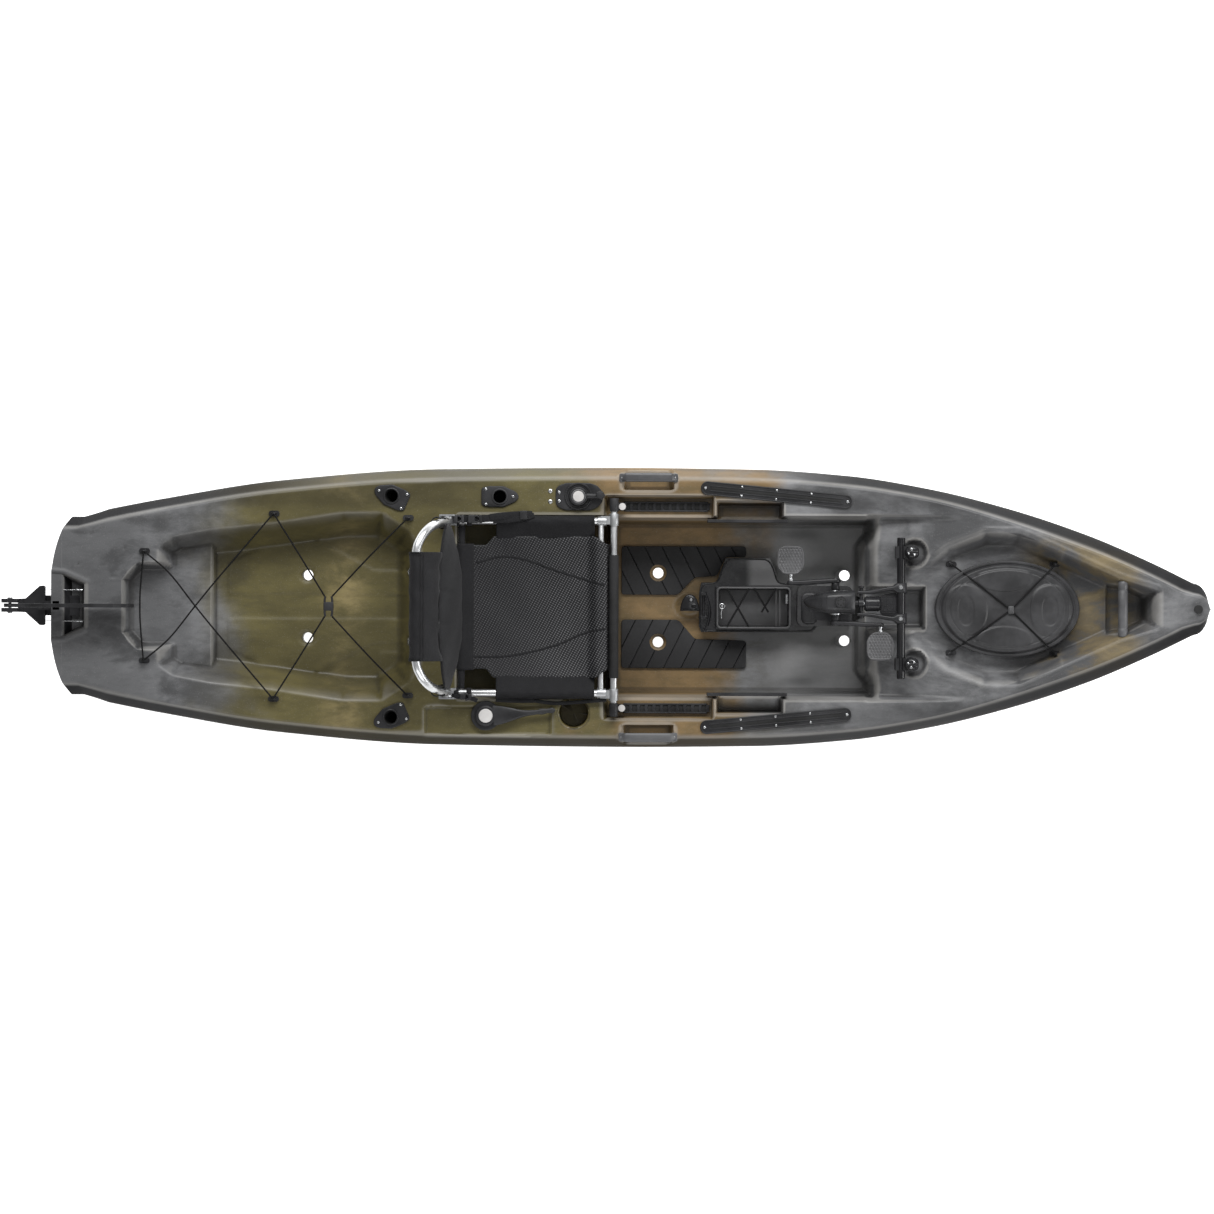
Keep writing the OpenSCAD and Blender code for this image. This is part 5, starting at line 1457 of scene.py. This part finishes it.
def hatch():
    """Lid with its moulded relief, held down by an elastic cross between four deck hooks."""
    around = 200
    a = circle_angles(around)
    ox, oy = LID_HALF[0] * np.cos(a), LID_HALF[1] * np.sin(a)
    rows = []
    for e in np.linspace(0.002, 0.985, 110):
        rows.append(points(HATCH_X + ox * e, oy * e, lid_height(ox * e, oy * e)))
    low_z = low("hatch_lid")[2]
    rim = [(0.995, 334.5), (1.0, 331), (1.0, low_z + 2), (0.994, low_z), (0.955, low_z), (0.95, 319.6),
           (0.875, 319.6), (0.86, 336), (0.005, 336)]
    for e, z in rim:
        rows.append(points(HATCH_X + ox * e, oy * e, z))
    shape = (np.vstack(rows), tube_faces(len(rows), around))
    face_outwards(make("lid_moulding", shape, "hatch", "lid_plastic", ["hatch_lid"], 60).data)
    centre = np.array([1208.0, -4.0])
    knot = Parts().add(block(*centre, 9, 12, 3, 342, 353, 2))
    knot.add(block(*centre, 5.5, 8, 2, 351, 355.5, 1.2))
    make("lid_buckle", knot, "hatch", "grey_plastic")
    top = 326.6
    for k, hook in enumerate(((1018, 143), (1349, 141), (1349, -142), (1014, -142))):
        d = (hook - centre) / np.linalg.norm(hook - centre)
        edge = centre + 186 * d
        route = [(*hook, top), (*(edge + 6 * d), top + 8)]
        for reach in (182, 150, 110, 70, 34, 10):
            x, y = centre + reach * d
            route.append((x, y, float(lid_height(x - HATCH_X, y)) + 3.1))
        cord = make(f"lid_cord_{k + 1}", sweep(spline(route, 90), 2.6, 12), None, "cord",
                    ["hatch_bungee"] if k == 0 else ())
        lip = float(lid_height(edge[0] - HATCH_X, edge[1]))
        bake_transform(cord)
        t = np.linspace(-0.4, math.pi * 1.5, 20)
        out = 8 * np.cos(t)
        bend = points(hook[0] + out * d[0], hook[1] + out * d[1], top - 6 + 8 * np.sin(t))
        make(f"lid_hook_{k + 1}", sweep(bend, 3.2, 10, up=(-d[1], d[0], 0)), "hull", "black_plastic")


hatch()


# ---------------------------------------------------------------- drive
def pedal(side, y0, y1, arm_side):
    """Grey pedal whose tread is a net of oval pits; its corners are cut away next to the crank arm."""
    half_width, half_length, around, power = 43.0, (y1 - y0) / 2, 160, 3.6
    a = circle_angles(around)
    c, s = np.cos(a), np.sin(a)
    r = (np.abs(c) ** power + np.abs(s) ** power) ** (-1 / power)
    ox, oy = half_width * r * c, half_length * r * s
    ox *= 1 - 0.22 * smooth((oy * arm_side - 12) / 34)

    def tread(x, y):
        e = np.maximum(np.abs(x) / (half_width - 5), np.abs(y) / (half_length - 5))
        u, v = x / 9.5, y / 9.5
        pits = np.cos(2 * math.pi * (u + v / 2)) + np.cos(2 * math.pi * (u - v / 2))
        inside = smooth((0.97 - e) / 0.06)
        return 8.4 + 1.3 * (1 - inside) - 1.6 * inside * smooth((pits - 0.1) / 1.1)

    rows = []
    for e in np.linspace(0.01, 1.0, 84):
        rounding = math.sqrt(max(0.0, 1 - (max(e - 0.955, 0) / 0.045) ** 2))
        rows.append(points(ox * e, oy * e, tread(ox * e, oy * e) - 2.4 * (1 - rounding)))
    for e, z in ((1.0, -6.0), (0.97, -8.6), (0.90, -9.6)):
        rows.append(points(ox * e, oy * e, z))
    for e in (0.6, 0.3, 0.01):
        rows.append(points(ox * e, oy * e, -tread(ox * e, oy * e)))
    node = f"pedal_{side}"
    verts = np.vstack(rows) + [middle(node)[0], (y0 + y1) / 2, CRANK[2]]
    shape = (verts, tube_faces(len(rows), around))
    piece = make(f"pedal_tread_{side}", shape, f"{side}_pedal", "grey_plastic", [node], 50, "pedal_plastic")
    face_outwards(piece.data)


def crank_arm(x_end, y_hub, y_end):
    """Forged arm, thickest at the axle, with a soft-edged section and round ends."""
    x_hub, z = CRANK[0], CRANK[2]
    count, around, cap_rings = 44, 20, 5
    a = circle_angles(around)
    t = np.linspace(0, 1, count)
    x = x_hub + (x_end - x_hub) * t
    y = y_hub + (y_end - y_hub) * smooth(t)
    rows = []
    for k in range(count):
        across, upwards = (8.2 - 1.4 * t[k]) * soft(np.cos(a), 0.6), (16 - 5 * t[k]) * soft(np.sin(a), 0.7)
        rows.append(points(x[k], y[k] + across, z + upwards))

    def round_end(at, x_from, reach):
        rings = []
        for j in range(1, cap_rings + 1):
            b = j / cap_rings * math.pi / 2
            ring = rows[at].copy()
            ring[:, 0] = x_from + reach * math.sin(b)
            ring[:, 1] = y[at] + (ring[:, 1] - y[at]) * (0.35 + 0.65 * math.cos(b))
            ring[:, 2] = z + (ring[:, 2] - z) * math.cos(b)
            rings.append(ring)
        return rings

    # the boss at the spindle keeps the section from a little before the arm's end
    forward = math.copysign(1, x_end - x_hub)
    rings = round_end(0, x_hub, -16 * forward)[::-1] + rows + round_end(count - 6, x_end, 11 * forward)
    return np.vstack(rings), tube_faces(len(rings), around)


def cranks():
    """Both arms, their hub caps and spindles, and the sleeves of the axle."""
    arms, steel, sleeves = Parts(), Parts(), Parts()
    z = CRANK[2]
    for sign, node, y_hub, y_end, y_pedal in (
        (1, "pedal_port", 86, 80, 106), (-1, "pedal_starboard", -47, -53, -75)
    ):
        x_end = middle(node)[0]
        arms.add(crank_arm(x_end, y_hub, y_end))
        cap = [(0.1, -7.8), (8.8, -7.8), (8.8, 7.8), (6, 8.4), (5, 8.0), (0.1, 8.0)]
        steel.add(turned(cap, (CRANK[0], y_hub, z), "y", 40))
        near, far = sorted((y_end + sign * 4, y_pedal + sign * 84))
        steel.add(turned([(0.1, near), (4.9, near), (4.9, far), (0.1, far)], (x_end, 0, z), "y", 24))
        a, b = sorted((y_end + sign * 6.2, y_pedal - sign * 0.8))
        third = (b - a) / 3
        shoulder = [(0.1, a), (8, a), (8, a + third * 0.8), (5.6, a + third), (5.6, a + 2 * third),
                    (7.4, a + 2.2 * third), (7.4, b), (0.1, b)]
        steel.add(turned(shoulder, (x_end, 0, z), "y", 32))
    face_outwards(make("crank_forgings", arms, "crank", "black_metal", ["crank_arms"]).data)
    for y0, y1 in ((57, 78.5), (-39.5, -21)):
        sleeve = [(9, y0), (12, y0), (13, y0 + 1.5), (13, y1 - 1.5), (12, y1), (9, y1)]
        sleeves.add(turned(sleeve, (CRANK[0], 0, z), "y", 40, True))
    make("axle_sleeves", sleeves, "crank", "black_metal")
    make("crank_spindles", steel, "crank", "steel")


def housing():
    """Moulded cover of the gear drum: a rounded nose aft and flat shoulders forward."""
    left_line = [(548, 30), (560, 36), (600, 46), (650, 54.6), (712, 56)]
    right_line = [(548, 16), (560, 4), (600, -10), (650, -18), (712, -19)]
    top_line = [(548, 352), (570, 372), (600, 396), (625, 409), (652, 413.6), (700, 404), (712, 398)]
    low_line = [(548, 336), (570, 328), (600, 316), (652, 306), (700, 316), (712, 322)]
    outlines = (left_line, right_line, top_line, low_line)
    around = 64
    a = circle_angles(around)
    c, s = np.cos(a), np.sin(a)
    rows = []
    for x in np.concatenate([np.linspace(550, 575, 14), np.linspace(580, 712, 30)]):
        left, right, top, bottom = (float(curve(line, x)) for line in outlines)
        nose = np.clip((x - 549) / 26, 0, 1)
        half_y = (left - right) / 2 * math.sqrt(1 - (1 - nose) ** 2 * 0.98)
        y = (left + right) / 2 + half_y * soft(c, 0.55)
        z = (top + bottom) / 2 + (top - bottom) / 2 * soft(s, 0.7)
        ridge = 1.6 * np.exp(-(((np.abs(c) - 0.80) / 0.07) ** 2)) * (s > 0.2)
        rows.append(points(x, y, z - ridge))
    shape = (np.vstack(rows), tube_faces(len(rows), around))
    face_outwards(make("gear_cover", shape, "drive", "housing_plastic", ["crank_housing"]).data)
    ribs = Parts()
    u = np.linspace(0, 1, 26)
    for x in (604, 622):
        left, right = float(curve(left_line, x)) - 6, float(curve(right_line, x)) + 6
        z = float(curve(top_line, x)) + 0.6 - 5 * np.abs(2 * u - 1) ** 5
        ribs.add(sweep(points(x, left + (right - left) * u, z), 1.8, 8))
    make("cover_ribs", ribs, "drive", "black_plastic")
    x, y = 666.5, 19.6
    cap = [(0.1, 408), (18.6, 408), (18.6, 418), (17.4, 419.8), (15.6, 420.0), (14.4, 418.4), (0.1, 418.4)]
    make("cover_cap", turned(cap, (x, y, 0), sides=56), "drive", "black_plastic", ["housing_cap"],
         finish="housing_plastic")
    plugs = Parts()
    plug = [(0.1, 417.4), (3.2, 417.4), (3.2, 418.9), (2.6, 419.2), (0.1, 419.2)]
    for b in circle_angles(6) + math.radians(30):
        plugs.add(turned(plug, (x + 9.8 * math.cos(b), y + 9.8 * math.sin(b), 0), sides=20))
    make("cover_cap_plugs", plugs, "drive", "black_rubber")
    pin = [(0.1, -32), (6, -32), (9, -30), (9, -22), (6, -21), (6, 63), (9, 64), (9, 70), (0.1, 71)]
    stub = [(0.1, 706), (9, 706), (9, 724), (13, 726), (13, 742), (0.1, 742)]
    parts = Parts().add(turned(pin, (734, 0, YOKE_Z), "y", 28))
    parts.add(turned(stub, (0, 16, YOKE_Z), "x", 28))
    make("yoke_pin", parts, "drive", "black_metal")


def yoke():
    """Cast yoke between the drive and the crossbar: two curved arms, a ribbed plate and a damper."""
    parts = Parts()
    count, around, cap_rings = 40, 20, 4
    x_aft, x_fore = 722, 859
    a = circle_angles(around)
    t = np.linspace(0, 1, count)
    x, z = x_aft + (x_fore - x_aft) * t, YOKE_Z + 13 * smooth(t)
    half_y = 5.5 + 9.5 * smooth((t - 0.80) / 0.12) + 2.5 * t
    half_z = 12 + 6 * t
    for y_aft, y_fore in ((50, 64), (-20, -33)):
        y = y_aft + (y_fore - y_aft) * smooth((t - 0.15) / 0.75)
        rows = []
        for k in range(count):
            across, upwards = half_y[k] * soft(np.cos(a), 0.6), half_z[k] * soft(np.sin(a), 0.7)
            rows.append(points(x[k], y[k] + across, z[k] + upwards))
        for j in range(1, cap_rings + 1):
            b = j / cap_rings * math.pi / 2
            ring = rows[count - 1].copy()
            ring[:, 0] = x_fore + 18 * math.sin(b)
            ring[:, 2] = z[-1] + (ring[:, 2] - z[-1]) * max(0.05, math.cos(b))
            rows.append(ring)
        parts.add((np.vstack(rows), tube_faces(len(rows), around)))
    face_outwards(make("yoke_arms", parts, "drive", "black_metal", ["drive_yoke"]).data)
    outline = [(794, -16), (800, -22), (842, -27), (846, -20), (846, 44), (842, 50), (798, 42), (794, 36)]
    plate = Parts().add(prism(outline, 350, 361, 2))
    for stud_x in np.arange(801, 842, 5.5):
        for stud_y in np.arange(-14, 42, 5.5):
            plate.add(block(stud_x, stud_y, 1.9, 1.9, 0.9, 360, 362.2, 0.6, 2))
    make("yoke_plate", plate, "drive", "black_metal")
    axis = (0, 14, YOKE_Z)
    can = [(0.1, 744), (20, 744), (23.4, 748), (23.4, 790), (20, 794), (0.1, 794)]
    damper = Parts().add(turned(can, axis, "x", 48))
    for band_x in (752, 786):
        band = [(23, band_x - 1.5), (24.6, band_x - 1), (24.6, band_x + 1), (23, band_x + 1.5)]
        damper.add(turned(band, axis, "x", 48, True))
    make("yoke_damper", damper, "drive", "gloss_plastic_black")
    heads = Parts()
    head = [(0.1, 381), (7, 381), (7, 384.6), (5, 386.4), (3.2, 386.4), (2.6, 384.6), (0.1, 384.6)]
    for centre in ((857, 66, 0), (857, -33, 0)):
        heads.add(turned(head, centre, sides=24))
    heads.add(turned([(0.1, 706), (6, 706), (6, 745), (0.1, 745)], axis, "x", 24))
    make("yoke_screws", heads, "drive", "steel")


def crossbar_and_knobs():
    x, z = PIVOT[0], PIVOT[2]
    r = (high("drive_crossbar")[0] - low("drive_crossbar")[0]) / 2
    bar = [(0.1, -223), (r - 2, -223), (r, -221), (r, 221), (r - 2, 223), (0.1, 223)]
    make("crossbar", turned(bar, (x, 0, z), "y", 48), "drive", "black_metal", ["drive_crossbar"],
         finish="crossbar_metal")
    around = 72
    a = circle_angles(around)
    lobes = 1 - 0.07 * (0.5 + 0.5 * np.cos(a * 5)) ** 2
    dome = ((0.55, 0.0), (0.93, 0.05), (1.0, 0.25), (1.0, 0.62), (0.94, 0.82), (0.80, 0.93), (0.5, 0.99),
            (0.02, 1.0))
    for sign, side in ((1, "port"), (-1, "starboard")):
        body, node = f"saddle_latch_{side}", f"saddle_knob_{side}"
        lo, hi = low(node), high(node)
        cx, cy = (lo[0] + hi[0]) / 2, (lo[1] + hi[1]) / 2
        rx, ry = (hi[0] - lo[0]) / 2, (hi[1] - lo[1]) / 2
        rows = []
        for reach, height in dome:
            ox, oy = rx * reach * lobes * np.cos(a), ry * reach * lobes * np.sin(a)
            rows.append(points(cx + ox, cy + oy, lo[2] + (hi[2] - lo[2]) * height))
        parts = Parts().add((np.vstack(rows), tube_faces(len(rows), around)))
        bridge = [(cx - rx * 0.7, cy, hi[2] - 4), (cx, cy, hi[2] - 1.5), (cx + rx * 0.7, cy, hi[2] - 4)]
        parts.add(sweep(spline(bridge, 20), 5, 12, (1.0, 0.6)))
        face_outwards(make(f"knob_{side}", parts, body, "gloss_plastic_black", [node]).data)
        # painted highlights: small steel heads on each knob stand in for the glints on its gloss
        glint_rivets = Parts()
        for dx, dy, radius in ((-3, 9, 4.2), (6, -8, 3.0), (-12, -4, 2.6)):
            head = [(0.1, -4), (radius, -4), (radius, 0.2), (radius * 0.5, 1.0), (0.1, 1.1)]
            glint_rivets.add(turned(head, (cx + dx, cy + dy * sign, hi[2]), sides=20))
        make(f"knob_glint_rivets_{side}", glint_rivets, body, "steel")


def drive_deck():
    """Details on the drive's plate: edge bead, toothed latch ring, tray floor, ribs and rail."""
    top = 146.0
    outline = [(226, 48), (233, 81), (282, 81), (311, 159), (453, 159), (468, 127), (480, 82), (605, 76),
               (605, -60), (590, -78), (233, -78), (226, -60)]
    p = counter_clockwise(outline)
    p = p - corner_normals(p, 0.5) * 3.5
    bead = []
    for a, b in zip(p, np.roll(p, -1, axis=0)):
        n = max(2, int(np.linalg.norm(b - a) / 12))
        bead += [a + (b - a) * k / n for k in range(n)]
    bead = np.array(bead)
    for _ in range(2):
        bead = (np.roll(bead, 1, 0) + 2 * bead + np.roll(bead, -1, 0)) / 4
    details = Parts().add(closed_sweep(points(bead[:, 0], bead[:, 1], top), 2.4))
    t = np.linspace(0, 1, 40)
    details.add(sweep(points(244 + 16 * np.sin(t * math.pi), 49 - 126 * t, top + 2), 5.2, 12, (1.0, 0.8)))
    for t in (np.arange(15) + 0.5) / 15:
        details.add(block(238 + 15 * math.sin(t * math.pi), 49 - 126 * t, 3.4, 2.6, 1, top, top + 6.5, 1))
    for x in (330, 400, 470):
        details.add(block(x, 64, 2, 3, 1, 160, 187, 1))
    make("plate_edges", details, "drive", "gloss_plastic_black")
    wall = np.array(round_outline(284, 516, -64, 64, 12, 8))
    tray = Parts().add(closed_sweep(points(wall[:, 0], wall[:, 1], 186.0), 3.6))
    tray.add(block(400, 0, 111, 59, 10, 134, 138, 1.5))
    for x in (472, 484):
        tray.add(sweep([(x, -58, 176), (x, 0, 177), (x, 58, 176)], 2.6, 10))
    make("tray_lining", tray, "drive", "housing_plastic", finish="tray_plastic")
    a = circle_angles(40)
    steel = Parts().add(closed_sweep(points(299 + 8 * np.cos(a), 5 + 8 * np.sin(a), 189.0), 1.6))
    steel.add(turned([(0.1, 186), (3.4, 186), (3.4, 190), (0.1, 190.6)], (299, 5, 0), sides=20))
    steel.add(sweep([(298, -4, 188), (296, -20, 186), (297, -34, 184)], 1.6, 8))
    steel.add(turned([(0.1, 14), (5.6, 14), (5.6, 43), (0.1, 43)], (506, 0, 180), "y", 28))
    make("tray_ring", steel, "drive", "steel")
    laces = Parts()
    for (xa, ya), (xb, yb) in (
        ((315, 60), (384, -60)), ((384, 60), (315, -60)), ((402, 62), (447, -14)), ((470, 62), (425, -14))
    ):
        crest = ((xa + xb) / 2, (ya + yb) / 2, 190.5)
        laces.add(sweep(spline([(xa, ya, 189), crest, (xb, yb, 189)], 30), 3.0, 10))
    make("tray_cords", laces, "drive", "cord", ["tray_bungee"])
    boot = Parts().add(prism(round_outline(540, 716, -58, 72, 22), 140, 176, 12, 6))
    boot.add(prism(round_outline(552, 606, -52, 50, 20), 170, 184, 8, 5))
    make("leg_cover", boot, "drive", "housing_plastic")
    make("slot_gasket", block(726, 0, 22, 41, 8, FLOOR + 1.0, FLOOR + 8, 2.5), "drive", "black_rubber")


def latch():
    """Half-round latch lever over the finger recess, with two screws."""
    lo, z = low("rear_latch"), high("rear_latch")[2]
    a = np.linspace(0, math.pi, 40)
    outline = np.column_stack([196 + 31 * np.cos(a), -11 + 54 * np.sin(a)])
    parts = Parts().add(prism(outline, lo[2] + 2, z - 1.5, 7, 5))
    parts.add(turned([(0.1, z - 6), (11, z - 5), (11, z - 1.4), (8.6, z), (0.1, z)], (200, 25, 0), sides=36))
    parts.add(turned([(0.1, z - 6), (9, z - 5), (9, z - 1.4), (7, z), (0.1, z)], (209, 4, 0), sides=36))
    make("latch_lever", parts, "latch", "gloss_plastic_black", ["rear_latch"])
    head = [(0.1, z - 1.5), (5, z - 1.5), (5, z - 0.4), (3.4, z + 0.4), (0.1, z + 0.4)]
    ring = [(3.4, z - 1.5), (5.2, z - 1.5), (5.2, z), (3.4, z)]
    heads = Parts().add(turned(head, (200, 25, 0), sides=24))
    heads.add(turned(ring, (209, 4, 0), sides=28, ring=True))
    make("latch_screws", heads, "latch", "steel")


pedal("port", 106, 196, -1)
pedal("starboard", -165, -75, 1)
cranks()
housing()
yoke()
crossbar_and_knobs()
drive_deck()
latch()


# ---------------------------------------------------------------- backrest tube
def backrest_tube():
    pivot_x, pivot_z = BACKREST_PIVOT
    top_x, top_z = TOP_TUBE
    side = [(pivot_x, BACKREST_HALF, pivot_z), (-575, 264, 470), (-582, 260, 570), (-598, 254, 650),
            (-612, 246, 684), (-628, 230, 712), (-643, 206, 730), (-655, 168, 742), (top_x, 80, top_z)]
    route = side + [(top_x, 0, top_z)] + [(x, -y, z) for x, y, z in reversed(side)]
    parts = Parts().add(sweep(spline(route, 220), 13.6, 28, up=(1, 0, 0)))
    for sign in (1, -1):
        a, b = sorted((sign * 262, sign * 285.6))
        eye = [(0.1, a), (14, a), (16, a + 2), (16, b - 2), (14, b), (0.1, b)]
        parts.add(turned(eye, (pivot_x, 0, pivot_z), "y", 36))
    make("backrest_hoop", parts, "backrest", "tube_alloy", ["backrest_tube"])


backrest_tube()


# ---------------------------------------------------------------- CAD nodes that keep their shape
for name in nodes:
    if name not in replaced:
        dress_node(name)


# ---------------------------------------------------------------- camera, light and floor
def studio():
    lowest = cad_box[0][2]
    mesh = bpy.data.meshes.new("floor")
    s = 30.0
    mesh.from_pydata([(-s, -s, 0), (s, -s, 0), (s, s, 0), (-s, s, 0)], [], [(0, 1, 2, 3)])
    floor = bpy.data.objects.new("floor", mesh)
    floor.location.z = lowest - 0.01
    bpy.context.scene.collection.objects.link(floor)
    m = Nodes("floor", 0.9, 0, (0.9, 0.9, 0.9))
    m.shader.inputs["Emission Color"].default_value = (1, 1, 1, 1)
    m.shader.inputs["Emission Strength"].default_value = 0.80
    mesh.materials.append(m.material)
    world = bpy.data.worlds.new("studio")
    bpy.context.scene.world = world
    world.use_nodes = True
    world.node_tree.nodes["Background"].inputs["Color"].default_value = (1, 1, 1, 1)
    world.node_tree.nodes["Background"].inputs["Strength"].default_value = 0.33
    for name, place, size, power in (
        ("key", (0.3, 4.0, 3.8), (6.0, 1.6), 410),
        ("starboard_fill", (0.3, -4.0, 3.8), (6.0, 1.6), 110),
        ("bow_fill", (4.8, -0.8, 2.2), (2.0, 2.0), 80),
        ("strip", (0.65, 0.1, 4.6), (1.5, 0.25), 5),
    ):
        light = bpy.data.lights.new(name, "AREA")
        light.shape = "RECTANGLE"
        light.size, light.size_y = size
        light.energy = power
        obj = bpy.data.objects.new(name, light)
        obj.location = place
        aim = Vector((0, 0, 0.3)) - Vector(place)
        obj.rotation_euler = aim.to_track_quat("-Z", "Y").to_euler()
        bpy.context.scene.collection.objects.link(obj)
    camera = bpy.data.cameras.new("camera")
    height, width = 13.0, 3.841
    camera.sensor_width = 36
    camera.lens = 36 * height / width
    camera.clip_end = 100
    view = bpy.data.objects.new("camera", camera)
    view.location = (-0.0695, 0.001, DECK * MM + height)
    view.rotation_euler = (0, 0, math.radians(0.2))
    bpy.context.scene.collection.objects.link(view)
    bpy.context.scene.camera = view
    bpy.context.scene.view_settings.view_transform = "Standard"


studio()
